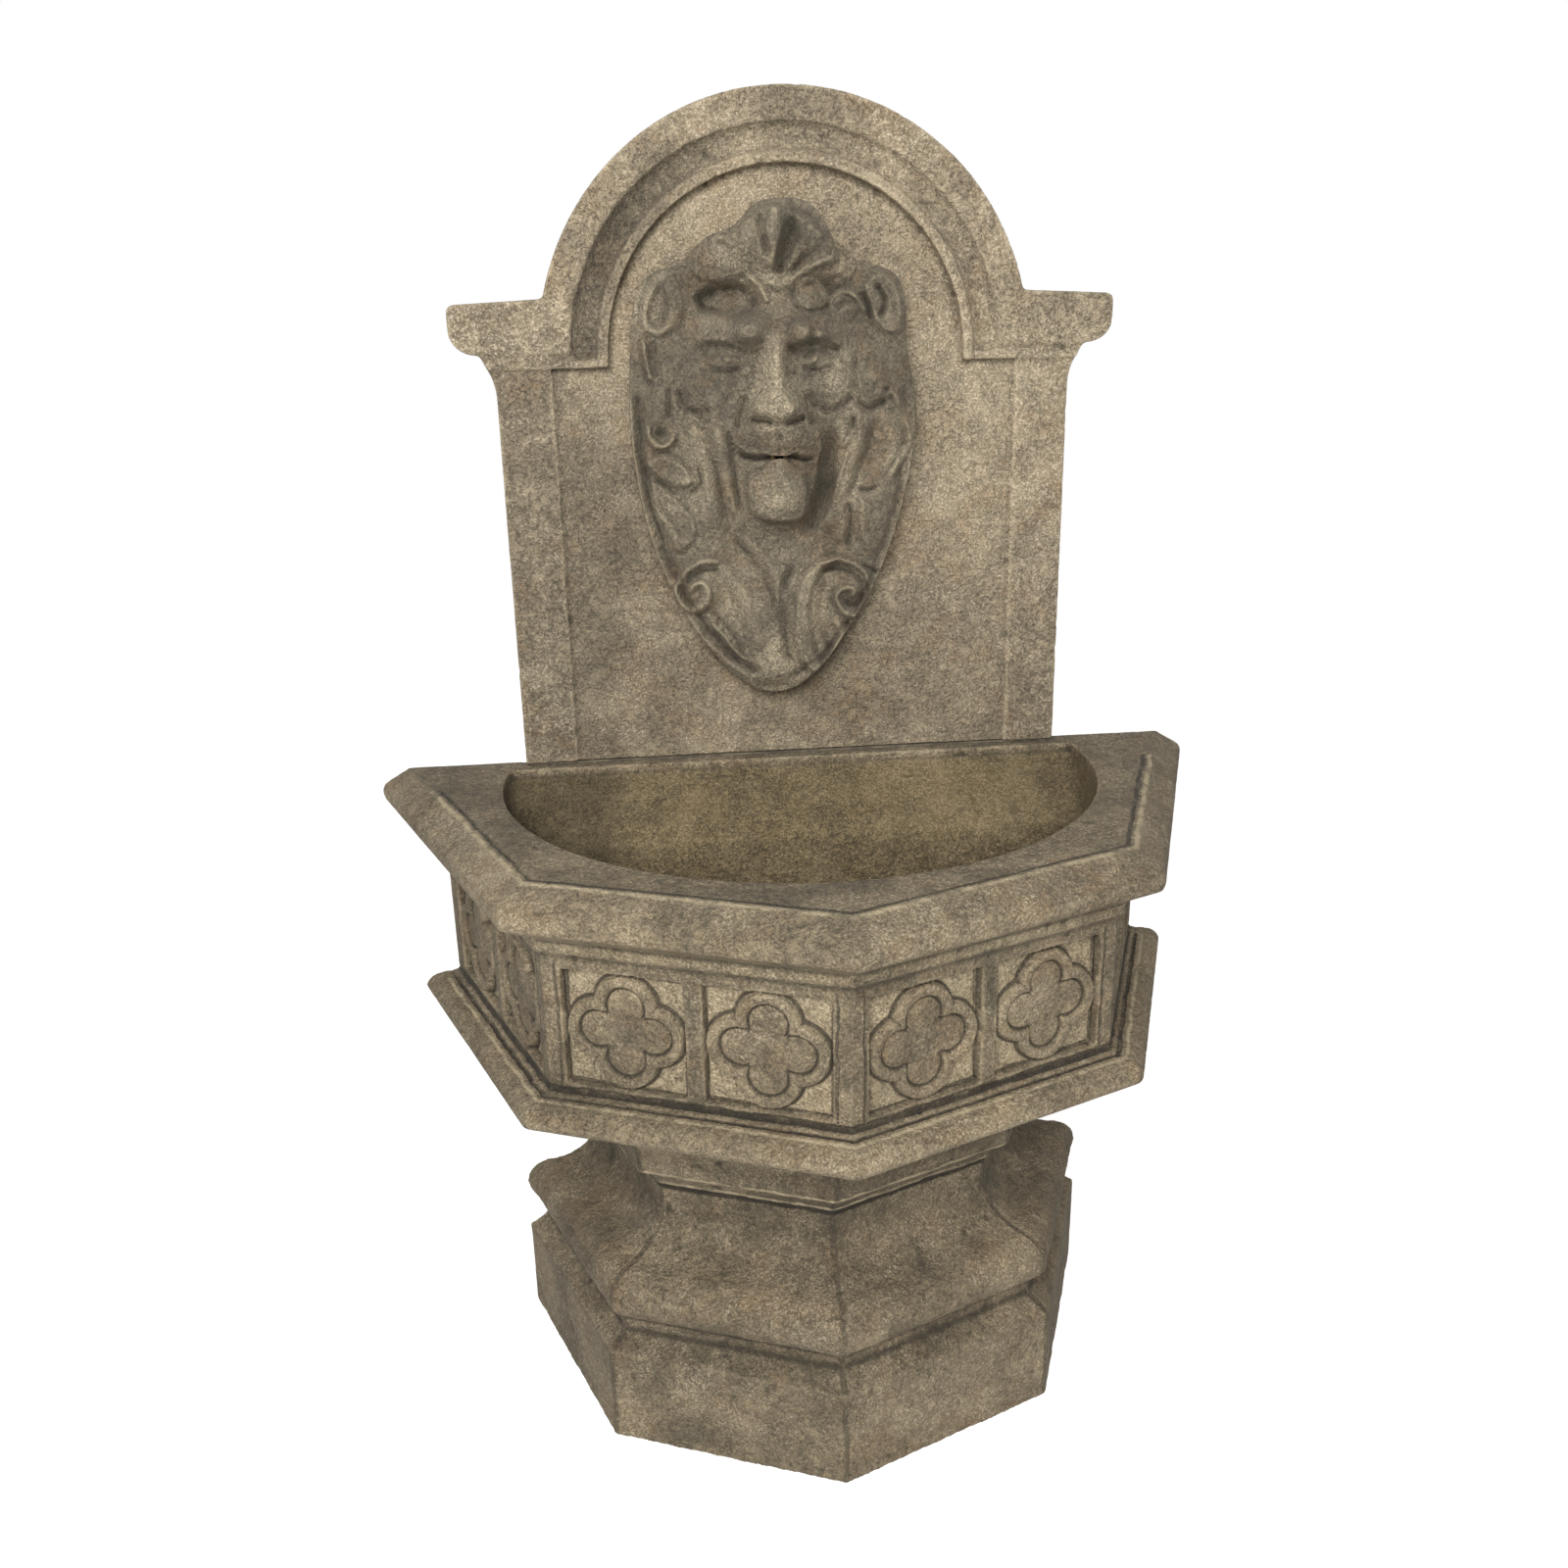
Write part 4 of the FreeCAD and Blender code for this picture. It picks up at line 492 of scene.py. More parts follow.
def copper_pipe():
    """Copper gone brown, with green bloom in patches."""
    t = material_tree("aged copper")
    patches = t.noise(0.03, 5.0, 0.65)
    spots = t.noise(0.004, 4.0, 0.6)
    colour = t.blend(patches, 0.38, 0.62, (96, 68, 52), (66, 50, 40))
    green = t.times(t.spread(patches, 0.55, 0.68), t.spread(spots, 0.45, 0.6))
    colour = t.mix(t.times(green, 0.7), colour, linear(96, 132, 112))
    return t.finish(colour, t.spread(spots, 0.3, 0.7, 0.34, 0.62), t.bump(spots, 0.0003, 0.5), 0.85)


def moulded_plastic(name, colour, worn, roughness):
    """Moulded plastic with a fine spark-eroded texture and scuffed patches."""
    t = material_tree(name)
    grain = t.noise(0.0012, 2.0, 0.5)
    scuffs = t.noise(0.012, 5.0, 0.65, (1.0, 1.0, 3.0))
    rough = t.spread(scuffs, 0.4, 0.7, roughness, roughness + 0.2)
    return t.finish(t.coat(linear(*colour), scuffs, 0.52, 0.7, 0.5, worn), rough, t.bump(grain, 0.00012, 0.5))


def pump_plastic():
    return moulded_plastic("pump plastic", (38, 39, 41), (72, 72, 72), 0.42)


def impeller_plastic():
    return moulded_plastic("impeller plastic", (214, 212, 204), (186, 180, 166), 0.4)


def strainer_plastic():
    return moulded_plastic("strainer plastic", (66, 68, 70), (98, 98, 96), 0.45)


def dial_plastic():
    return moulded_plastic("dial plastic", (120, 122, 124), (150, 150, 148), 0.4)


def soft_rubber():
    """Black rubber with a grey bloom."""
    t = material_tree("rubber")
    bloom = t.noise(0.009, 4.0, 0.6)
    grain = t.noise(0.0009, 2.0, 0.5)
    colour = t.coat(linear(34, 33, 32), bloom, 0.5, 0.72, 0.4, (82, 80, 76))
    return t.finish(colour, t.spread(bloom, 0.4, 0.7, 0.62, 0.82), t.bump(grain, 0.0001, 0.5))


def clear_hose():
    """Clear vinyl hose, a little clouded."""
    t = material_tree("clear hose")
    cloud = t.noise(0.01, 3.0, 0.5)
    colour = t.blend(cloud, 0.4, 0.65, (214, 220, 214), (188, 196, 186))
    t.shader("Transmission Weight", 0.6)
    t.shader("IOR", 1.45)
    return t.finish(colour, t.spread(cloud, 0.35, 0.7, 0.12, 0.28), t.bump(cloud, 0.0002, 0.3))


def laminations():
    """Stacked steel sheets: fine lines across the stack."""
    t = material_tree("lamination steel")
    lines = t.bands("X", 320.0, 0.4)
    rust = t.noise(0.006, 4.0, 0.65)
    colour = t.blend(lines, 0.2, 0.8, (86, 88, 92), (150, 152, 156))
    colour = t.coat(colour, rust, 0.55, 0.72, 0.5, (112, 78, 54))
    return t.finish(colour, t.spread(rust, 0.3, 0.7, 0.35, 0.6), t.bump(lines, 0.0002, 0.6), 0.9)


def coil_wire():
    """Enamelled copper wire: close turns."""
    t = material_tree("coil wire")
    turns = t.bands("Y", 420.0, 1.2)
    tint = t.noise(0.005, 3.0, 0.6)
    colour = t.blend(turns, 0.1, 0.8, (110, 52, 24), (196, 112, 62))
    colour = t.coat(colour, tint, 0.45, 0.7, 0.4, (140, 70, 40))
    return t.finish(colour, t.spread(tint, 0.3, 0.7, 0.24, 0.4), t.bump(turns, 0.0003, 0.8), 0.7)


def potting():
    """Poured black resin with a slow ripple."""
    t = material_tree("potting resin")
    ripple = t.noise(0.012, 2.0, 0.4)
    specks = t.noise(0.0015, 2.0, 0.5)
    colour = t.blend(ripple, 0.35, 0.65, (24, 24, 26), (44, 43, 42))
    colour = t.coat(colour, specks, 0.6, 0.72, 0.4, (88, 86, 82))
    return t.finish(colour, t.spread(ripple, 0.3, 0.7, 0.22, 0.4), t.bump(ripple, 0.0006, 0.5))


def ceramic_shaft():
    """Ground white ceramic."""
    t = material_tree("shaft ceramic")
    lines = t.noise(0.0016, 3.0, 0.6, (1.0, 6.0, 6.0))
    tint = t.noise(0.006, 3.0, 0.5)
    colour = t.blend(tint, 0.4, 0.62, (226, 222, 210), (206, 200, 186))
    return t.finish(colour, t.spread(lines, 0.3, 0.7, 0.14, 0.3), t.bump(lines, 0.00006, 0.5))


def magnet():
    """Dark sintered magnet with a matt, slightly pitted face."""
    t = material_tree("magnet")
    grain = t.noise(0.0014, 3.0, 0.6)
    stain = t.noise(0.007, 4.0, 0.6)
    colour = t.blend(stain, 0.38, 0.64, (58, 58, 62), (84, 82, 80))
    return t.finish(colour, t.spread(grain, 0.3, 0.7, 0.42, 0.64), t.bump(grain, 0.00015, 0.6), 0.5)


FINISHES = {
    "cast_stone": plain_stone,
    "cast_stone_mask": mask_stone,
    "mortar": mortar,
    "stainless": stainless,
    "copper": copper_pipe,
    "brass": brass,
    "rubber": soft_rubber,
    "clear_hose": clear_hose,
    "pump_black": pump_plastic,
    "lamination_steel": laminations,
    "copper_wire": coil_wire,
    "resin": potting,
    "shaft_ceramic": ceramic_shaft,
    "magnet": magnet,
    "impeller_white": impeller_plastic,
    "strainer_grey": strainer_plastic,
    "dial_grey": dial_plastic,
}


def dress_nodes():
    """Gives every CAD node the finish of its slot in the record. Returns the materials by slot."""
    materials = {slot: make() for slot, make in FINISHES.items()}
    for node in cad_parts.values():
        for held in node.material_slots:
            slot = held.material.name.split(".")[0]
            if slot not in materials:
                raise ValueError(f"no finish for {slot}")
            held.material = materials[slot]
    return materials


# Meshes as arrays

def mesh_points(mesh):
    points = np.empty(len(mesh.vertices) * 3)
    mesh.vertices.foreach_get("co", points)
    return points.reshape(-1, 3)


def mesh_normals(mesh):
    normals = np.empty(len(mesh.vertices) * 3, dtype=np.float32)
    mesh.vertex_normals.foreach_get("vector", normals)
    return normals.reshape(-1, 3).astype(float)


def put_points(mesh, points):
    mesh.vertices.foreach_set("co", points.ravel())
    mesh.update()


def neighbour_ends(mesh):
    ends = np.empty(len(mesh.edges) * 2, dtype=np.int32)
    mesh.edges.foreach_get("vertices", ends)
    return ends.reshape(-1, 2)


def relax(points, ends, rounds, strength=0.5):
    """Moves each point towards the middle of its neighbours, so that arrises wear round."""
    count = len(points)
    first, second = ends[:, 0], ends[:, 1]
    joined = np.bincount(first, minlength=count) + np.bincount(second, minlength=count)
    joined = np.maximum(joined, 1)
    moved = points.copy()
    for _ in range(rounds):
        for axis in range(3):
            line = moved[:, axis]
            total = np.bincount(first, line[second], count) + np.bincount(second, line[first], count)
            moved[:, axis] = line + strength * (total / joined - line)
    return moved


def noise_at(points, size, seed):
    """Smooth noise from -1 to 1 whose lumps are about size metres across."""
    cell = points / size + seed * 7.31
    low = np.floor(cell).astype(np.int64)
    part = cell - low
    part = part * part * (3.0 - 2.0 * part)
    total = np.zeros(len(points))
    for corner in itertools.product((0, 1), repeat=3):
        at = low + np.array(corner)
        mixed = (at[:, 0] * 73856093) ^ (at[:, 1] * 19349663) ^ (at[:, 2] * 83492791) ^ (seed * 2654435)
        mixed = (mixed ^ (mixed >> 13)) * 1274126177
        value = ((mixed ^ (mixed >> 16)) & 65535) / 32767.5 - 1.0
        weight = np.ones(len(points))
        for axis in range(3):
            weight *= part[:, axis] if corner[axis] else 1.0 - part[:, axis]
        total += value * weight
    return total


def layered_noise(points, size, seed, layers=3, fade=0.5):
    total = np.zeros(len(points))
    reach = 0.0
    for layer in range(layers):
        share = fade ** layer
        total += share * noise_at(points, size / 2.0 ** layer, seed + layer)
        reach += share
    return total / reach


def smooth_step(value, low, high):
    part = np.clip((value - low) / (high - low), 0.0, 1.0)
    return part * part * (3.0 - 2.0 * part)


def within(value, low, low_top, high_top, high):
    """1 from low_top to high_top, fading to 0 at low and at high."""
    return smooth_step(value, low, low_top) * smooth_step(value, high, high_top)


def peak(value, at, half_width):
    """1 where a value is at a place, falling straight to 0 at half_width to each side."""
    return np.clip(1.0 - np.abs(value - at) / half_width, 0.0, 1.0)


def voxel_copy(name, node, voxel):
    """A copy of a CAD node's mesh as an even net of small faces."""
    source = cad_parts[node]
    piece = bpy.data.objects.new(name, source.data.copy())
    bpy.context.collection.objects.link(piece)
    modifier = piece.modifiers.new("net", "REMESH")
    modifier.mode = "VOXEL"
    modifier.voxel_size = voxel
    graph = bpy.context.evaluated_depsgraph_get()
    mesh = bpy.data.meshes.new_from_object(piece.evaluated_get(graph))
    piece.modifiers.clear()
    piece.data = mesh
    mesh.name = name
    return piece


def hollows_and_edges(points, normals, ends, rounds, reach):
    """How hollow and how sharp the surface is at each point, each from 0 up to 1 at reach metres."""
    bend = ((relax(points, ends, rounds) - points) * normals).sum(axis=1)
    return np.clip(bend / reach, 0.0, 1.0), np.clip(-bend / reach, 0.0, 1.0)


def give_looks(mesh, material, looks):
    """Writes the looks that the stone's material reads, 0 where one is left out, and sets the material."""
    for name in LOOKS:
        values = np.broadcast_to(looks.get(name, 0.0), len(mesh.vertices))
        attribute = mesh.attributes.new(name, "FLOAT", "POINT")
        attribute.data.foreach_set("value", np.clip(values, 0.0, 1.0).astype(np.float32))
    mesh.materials.clear()
    mesh.materials.append(material)
    mesh.polygons.foreach_set("use_smooth", np.ones(len(mesh.polygons), dtype=bool))
    mesh.update()


def dress_skin(piece, material, paint, wear_mm, roll_mm, lump_mm, dirt_and_shade, reshape=None):
    """Wears a skin's arrises, roughens its faces inwards, and writes what the stone's material reads."""
    mesh = piece.data
    ends = neighbour_ends(mesh)
    points = relax(mesh_points(mesh), ends, 1)
    if reshape is not None:
        points = reshape(points, ends)
    put_points(mesh, points)
    normals = mesh_normals(mesh)
    hollow, sharp = hollows_and_edges(points, normals, ends, 10, SHARP_BEND * MM)
    chips = smooth_step(layered_noise(points, 0.030, 11), -0.25, 0.6)
    pits = smooth_step(noise_at(points, 0.009, 41), 0.55, 0.9)
    inward = wear_mm * MM * sharp * (0.35 + chips)
    inward += roll_mm * MM * (0.5 + 0.5 * layered_noise(points, 0.16, 23))
    inward += lump_mm * MM * (0.5 + 0.5 * layered_noise(points, 0.014, 37))
    inward += PIT_DEPTH * MM * pits
    points = points - normals * inward[:, None]
    put_points(mesh, points)
    # Hollows darken with painted shade and grime, and pits darken too
    looks = {"hollow": dirt_and_shade * hollow + 0.5 * pits, "worn": sharp * (0.4 + 0.6 * chips)}
    looks.update(paint(points, normals))
    give_looks(mesh, material, looks)


def join(first, others):
    """Makes one piece of several, under the first one's name."""
    for piece in bpy.context.selected_objects:
        piece.select_set(False)
    for piece in others:
        piece.select_set(True)
    first.select_set(True)
    bpy.context.view_layer.objects.active = first
    bpy.ops.object.join()


def patches(points, table):
    """Soft patches added up: share, then the middle's and the reach's x, y and z in millimetres."""
    total = np.zeros(len(points))
    for share, x, y, z, *reach in table:
        middle = np.array((x * MM, y * MM + AXIS_Y, z * MM))
        total += share * np.exp(-(((points - middle) / (np.array(reach) * MM)) ** 2).sum(axis=1))
    return total


# The lion mask's carving. Points are millimetres across and up from the mask's middle

class Carving:
    """Adds up how far each point of the mask's face is pushed out or cut in."""

    def __init__(self, across, up):
        self.across = across
        self.up = up
        self.out = np.zeros(len(across))
        self.rough = np.zeros(len(across))

    def near(self, path, reach):
        """The numbers of the points within reach of a path."""
        low = path.min(axis=0) - reach
        high = path.max(axis=0) + reach
        inside = (self.across > low[0]) & (self.across < high[0]) & (self.up > low[1]) & (self.up < high[1])
        return np.nonzero(inside)[0]

    def distance(self, chosen, path):
        """Distance from each chosen point to a path, and how far along the path that is, from 0 to 1."""
        x, z = self.across[chosen], self.up[chosen]
        best = np.full(len(chosen), 1e9)
        along = np.zeros(len(chosen))
        spans = len(path) - 1
        for i in range(spans):
            ax, az = path[i]
            bx, bz = path[i + 1]
            dx, dz = bx - ax, bz - az
            length = max(dx * dx + dz * dz, 1e-9)
            part = np.clip(((x - ax) * dx + (z - az) * dz) / length, 0.0, 1.0)
            gap = np.hypot(x - ax - part * dx, z - az - part * dz)
            closer = gap < best
            best = np.where(closer, gap, best)
            along = np.where(closer, (i + part) / spans, along)
        return best, along

    def ridge(self, path, half_width, height, ends=0.15):
        """A rounded ridge along a path. It fades over its ends."""
        line = smooth_path(path)
        chosen = self.near(line, half_width)
        gap, along = self.distance(chosen, line)
        side = np.clip(1.0 - (gap / half_width) ** 2, 0.0, 1.0) ** 1.5
        fade = smooth_step(np.minimum(along, 1.0 - along), -0.02, ends)
        self.out[chosen] += height * side * fade

    def groove(self, path, half_width, depth, ends=0.15):
        self.ridge(path, half_width, -depth, ends)

    def boss(self, x, z, half_w, half_h, height, turn=0.0):
        """A soft dome."""
        c, s = math.cos(math.radians(turn)), math.sin(math.radians(turn))
        dx, dz = self.across - x, self.up - z
        a = (dx * c + dz * s) / half_w
        b = (dz * c - dx * s) / half_h
        self.out += height * np.clip(1.0 - a * a - b * b, 0.0, 1.0)

    def inside(self, chosen, line):
        """Whether each chosen point is inside a closed line."""
        x, z = self.across[chosen], self.up[chosen]
        crossed = np.zeros(len(chosen), dtype=bool)
        for i in range(len(line)):
            ax, az = line[i - 1]
            bx, bz = line[i]
            if az == bz:
                continue
            spans = (az > z) != (bz > z)
            crossed ^= spans & (x < (bx - ax) * (z - az) / (bz - az) + ax)
        return crossed

    def plate(self, outline, height, bevel, crown=0.0, rough=0.0):
        """A leaf with this outline, raised or sunk, a soft edge bevel wide, and a crown over its middle."""
        line = smooth_path(outline, closed=True)
        chosen = self.near(line, 1.0)
        gap, _ = self.distance(chosen, np.vstack((line, line[:1])))
        depth = np.where(self.inside(chosen, line), gap, 0.0)
        edge = smooth_step(depth, 0.0, bevel)
        self.out[chosen] += height * edge + crown * smooth_step(depth, 0.0, bevel * 3.0)
        self.rough[chosen] += rough * edge


CURVE_STEPS = 6


def smooth_path(path, closed=False):
    """Points along a smooth curve through the given ones."""
    given = np.array(path, dtype=float)
    count = len(given)
    made = []
    spans = count if closed else count - 1
    for i in range(spans):
        if closed:
            p0, p1, p2, p3 = (given[(i + k) % count] for k in (-1, 0, 1, 2))
        else:
            p0, p1 = given[max(i - 1, 0)], given[i]
            p2, p3 = given[i + 1], given[min(i + 2, count - 1)]
        for step in range(CURVE_STEPS):
            s = step / CURVE_STEPS
            made.append(0.5 * (2 * p1 + (p2 - p0) * s + (2 * p0 - 5 * p1 + 4 * p2 - p3) * s ** 2
                               + (3 * p1 - p0 - 3 * p2 + p3) * s ** 3))
    if not closed:
        made.append(given[-1])
    return np.array(made)


def carve_crest(c):
    """The fan of lobes over the forehead and the curls each side of it."""
    c.plate([(-47, 218), (-28, 237), (-8, 249), (11, 248), (26, 240), (50, 223), (67, 209), (77, 193),
             (78, 178), (66, 168), (36, 166), (0, 160), (-22, 172), (-36, 196)], 10, 9, 3)
    c.groove([(22, 234), (16, 214), (8, 190), (4, 174)], 10, 14, 0.25)
    c.groove([(-15, 236), (-10, 217), (-5, 194)], 5, 5)
    c.groove([(58, 216), (36, 196), (12, 174)], 5.5, 4)
    c.boss(46, 190, 26, 11, 4, 32)
    c.ridge([(-24, 234), (-20, 214), (-8, 182)], 11, 5)
    c.ridge([(3, 247), (0, 216), (-1, 180)], 9, 5)
    c.ridge([(40, 230), (30, 208), (12, 180)], 7, 4)
    c.ridge([(66, 196), (42, 187), (14, 172)], 6, 6)
    c.ridge([(70, 204), (79, 191), (78, 178), (66, 169), (52, 168)], 5, 5)
    c.boss(0, 160, 18, 18, 5)
    c.plate([(-84, 196), (-79, 207), (-64, 211), (-48, 208), (-36, 196), (-28, 180), (-42, 172),
             (-67, 170), (-83, 178)], 6, 6, 2, rough=2.2)
    c.ridge([(-66, 209), (-50, 213), (-37, 200), (-27, 180), (-16, 166)], 4.5, 5, 0.1)
    c.plate([(-82, 157), (-68, 169), (-44, 174), (-24, 168), (-12, 150), (-22, 141), (-50, 138),
             (-74, 141)], -13, 8, 0, rough=2.8)
    c.ridge([(-29, 178), (-16, 166), (-6, 150)], 4.5, 6, 0.1)
    c.boss(36, 157, 18, 14, 10)
    c.ridge([(22, 164), (34, 172), (48, 166), (53, 153)], 3.5, 3.5)
    c.groove([(19, 150), (30, 142), (46, 142), (54, 150)], 4, 5)
    c.boss(70, 146, 18, 14, 8)
    c.ridge([(54, 153), (65, 160), (78, 158), (88, 148), (92, 138)], 4, 6)
    c.groove([(60, 146), (70, 151), (80, 147)], 4, 4.5)
    c.plate([(86, 164), (96, 177), (112, 182), (125, 174), (132, 157), (134, 138), (131, 120), (116, 116),
             (100, 128), (92, 144)], 8, 8, 3, rough=1.2)
    c.groove([(103, 168), (110, 158), (112, 146), (108, 134)], 4.5, 9)
    c.ridge([(96, 172), (112, 178), (124, 168), (130, 150), (128, 130)], 6, 4)
    c.groove([(90, 160), (94, 148), (98, 132)], 3.5, 6)


def carve_left_side(c):
    """Ear leaf, column of curls and the two long leaves down the left edge."""
    c.plate([(-136, 130), (-133, 162), (-122, 180), (-108, 183), (-98, 169), (-95, 143), (-104, 124),
             (-121, 118)], 8, 6, 0, rough=0.8)
    c.plate([(-128, 134), (-125, 160), (-114, 172), (-105, 160), (-106, 136), (-117, 126)], -6, 5)
    c.ridge([(-124, 178), (-109, 183), (-98, 169), (-95, 146), (-103, 122)], 4.5, 4.5)
    c.ridge([(-134, 120), (-132, 98), (-129, 78)], 4.5, 6)
    c.groove([(-124, 118), (-123, 98), (-121, 80)], 6, 4)
    c.boss(-122, 56, 13, 22, 8, -6)
    c.groove([(-110, 72), (-109, 56), (-112, 42)], 4, 3)
    c.ridge([(-131, 38), (-132, 24), (-121, 13), (-109, 18), (-107, 30)], 5, 8, 0.1)
    c.boss(-119, 28, 7, 7, -7)
    c.plate([(-139, 1), (-123, 8), (-103, 3), (-90, -12), (-88, -25), (-98, -31), (-116, -25),
             (-132, -12)], 7, 6, 2)
    c.groove([(-127, 0), (-112, -6), (-98, -18)], 5, 2.5)
    c.groove([(-84, -6), (-82, -24), (-92, -36)], 4, 4)
    c.plate([(-139, -18), (-124, -27), (-107, -42), (-94, -60), (-88, -82), (-96, -92), (-110, -96),
             (-126, -66), (-135, -36)], 6, 6, 1, rough=1.4)
    c.ridge([(-138, -19), (-122, -28), (-106, -43), (-94, -60), (-88, -80)], 4, 5)
    c.groove([(-128, -40), (-112, -62), (-100, -84)], 5, 4)
    c.ridge([(-98, 46), (-90, 22), (-80, -10), (-70, -44), (-62, -74)], 14, 6)
    c.groove([(-99, 34), (-88, 4), (-80, -26), (-74, -54)], 4, 2.2)
    c.groove([(-76, 34), (-66, -4), (-60, -40), (-54, -66)], 5, 2.6)
    c.ridge([(-64, 38), (-58, 10), (-53, -26), (-46, -60), (-42, -76)], 9, 5.5)
    c.groove([(-51, 32), (-48, 4), (-44, -28), (-40, -58)], 4.5, 3.6)
    c.ridge([(-92, 44), (-84, 40), (-76, 30)], 4, 5)


def carve_face(c):
    """Brow, eyes, nose, muzzle and chin."""
    c.plate([(-84, 124), (-70, 131), (-54, 128), (-47, 120), (-52, 112), (-68, 112), (-80, 114)], 4, 6, 1,
            rough=0.6)
    for x in (-74, -66, -58):
        c.groove([(x, 129), (x + 1, 121), (x + 3, 113)], 2.4, 1.6)
    c.boss(-25, 127, 19, 16, 11)
    c.boss(26, 121, 15, 16, 10)
    c.groove([(37, 130), (37, 120), (35, 108)], 3.5, 3.5)
    c.plate([(40, 124), (52, 126), (66, 118), (68, 108), (54, 106), (42, 108)], 6, 5, 1)
    c.groove([(-82, 108), (-62, 113), (-44, 109), (-26, 101)], 5, 3.2)
    c.boss(-50, 98, 20, 12, 7)
    c.groove([(-68, 91), (-52, 86), (-36, 89)], 3.5, 2.6)
    c.groove([(-68, 98), (-52, 104), (-34, 98)], 2.6, 3.6)
    c.boss(-50, 97, 5, 4, 2.5)
    c.groove([(22, 110), (36, 112), (52, 111), (66, 104)], 5, 3.4)
    c.boss(43, 97, 17, 10, 7)
    c.boss(40, 98, 5, 4, 3)
    c.groove([(27, 92), (42, 87), (60, 91)], 3.5, 3)
    c.groove([(27, 99), (42, 104), (60, 99)], 2.6, 3.6)
    c.groove([(18, 114), (17, 98), (20, 80)], 9, 7)
    c.groove([(-20, 110), (-18, 95), (-19, 82)], 6, 2.5)
    c.ridge([(2, 128), (1, 100), (1, 74), (1, 50)], 14, 5)
    c.boss(-1, 52, 27, 20, 8)
    c.boss(-22, 46, 12, 10, 4)
    c.boss(22, 46, 12, 10, 4)
    c.groove([(-28, 40), (-16, 36), (-5, 33)], 4.5, 7)
    c.groove([(30, 38), (18, 35), (8, 33)], 4.5, 8)
    c.groove([(33, 62), (37, 46), (40, 30)], 6, 5)
    c.groove([(-33, 62), (-38, 46), (-42, 30)], 5, 4)
    c.boss(-23, 19, 25, 18, 6)
    c.boss(23, 17, 22, 17, 6)
    c.groove([(0, 34), (1, 22), (1, 12)], 4, 1.8)
    c.ridge([(-45, 11), (-28, 5), (-12, 6), (1, 11), (15, 8), (28, 2), (40, 1)], 5, 4)
    c.groove([(-47, 7), (-36, 1), (-22, -2), (-10, 0), (2, 5), (15, 1), (27, -4), (40, -2)], 3.4, 7)
    c.ridge([(-32, -19), (-14, -14), (8, -13), (24, -16), (32, -22)], 4.5, 6)
    c.plate([(-34, -20), (-14, -14), (8, -13), (26, -17), (34, -26), (33, -50), (27, -63), (10, -70),
             (-12, -70), (-28, -63), (-35, -48)], 9, 6, 1, rough=2.8)
    c.groove([(-20, -30), (0, -28), (20, -31)], 4, 2)
    c.boss(-72, 76, 28, 28, 9)
    c.groove([(-100, 70), (-96, 54), (-82, 46), (-66, 50)], 5.5, 4)
    c.boss(58, 74, 24, 22, 9)
    c.groove([(36, 54), (52, 46), (68, 50), (80, 62)], 5, 5.5)
    c.boss(97, 73, 20, 23, 9)
    c.groove([(82, 98), (80, 78), (84, 62)], 4.5, 3.5)
    c.groove([(82, 56), (96, 47), (112, 54)], 5, 5)
    for x, z in ((113, 66), (118, 58), (111, 54)):
        c.boss(x, z, 4, 4, -5)


def carve_right_side(c):
    """Locks, dark tuft and outer leaves down the right edge."""
    c.groove([(58, 32), (53, -2), (48, -36), (36, -64), (24, -82)], 12, 14, 0.2)
    c.boss(66, 24, 13, 17, 7, 10)
    c.groove([(80, 40), (80, 20), (72, 4)], 4, 7)
    c.ridge([(95, 48), (88, 24), (77, -6), (65, -36), (54, -60), (45, -78)], 13, 10)
    c.ridge([(88, 50), (80, 22), (70, -6), (58, -34)], 3.5, 4)
    c.groove([(101, 34), (93, 8), (82, -20), (72, -44)], 4.5, 3)
    c.plate([(104, 44), (118, 40), (130, 20), (126, -8), (112, -26), (98, -22), (96, 4)], 4, 8, 2,
            rough=2.4)
    c.ridge([(115, 66), (130, 48), (136, 18), (129, -6), (114, -29)], 5, 6)
    c.groove([(84, -34), (94, -36), (104, -32)], 4, 6)
    c.plate([(86, -42), (106, -50), (118, -72), (110, -98), (95, -110), (84, -92), (80, -64)], 5, 8, 2,
            rough=2)
    c.groove([(74, -48), (76, -72), (70, -96)], 5, 6)
    c.ridge([(64, -50), (66, -72), (60, -94)], 6, 4)
    c.groove([(88, -116), (98, -120), (106, -124)], 3, 6)


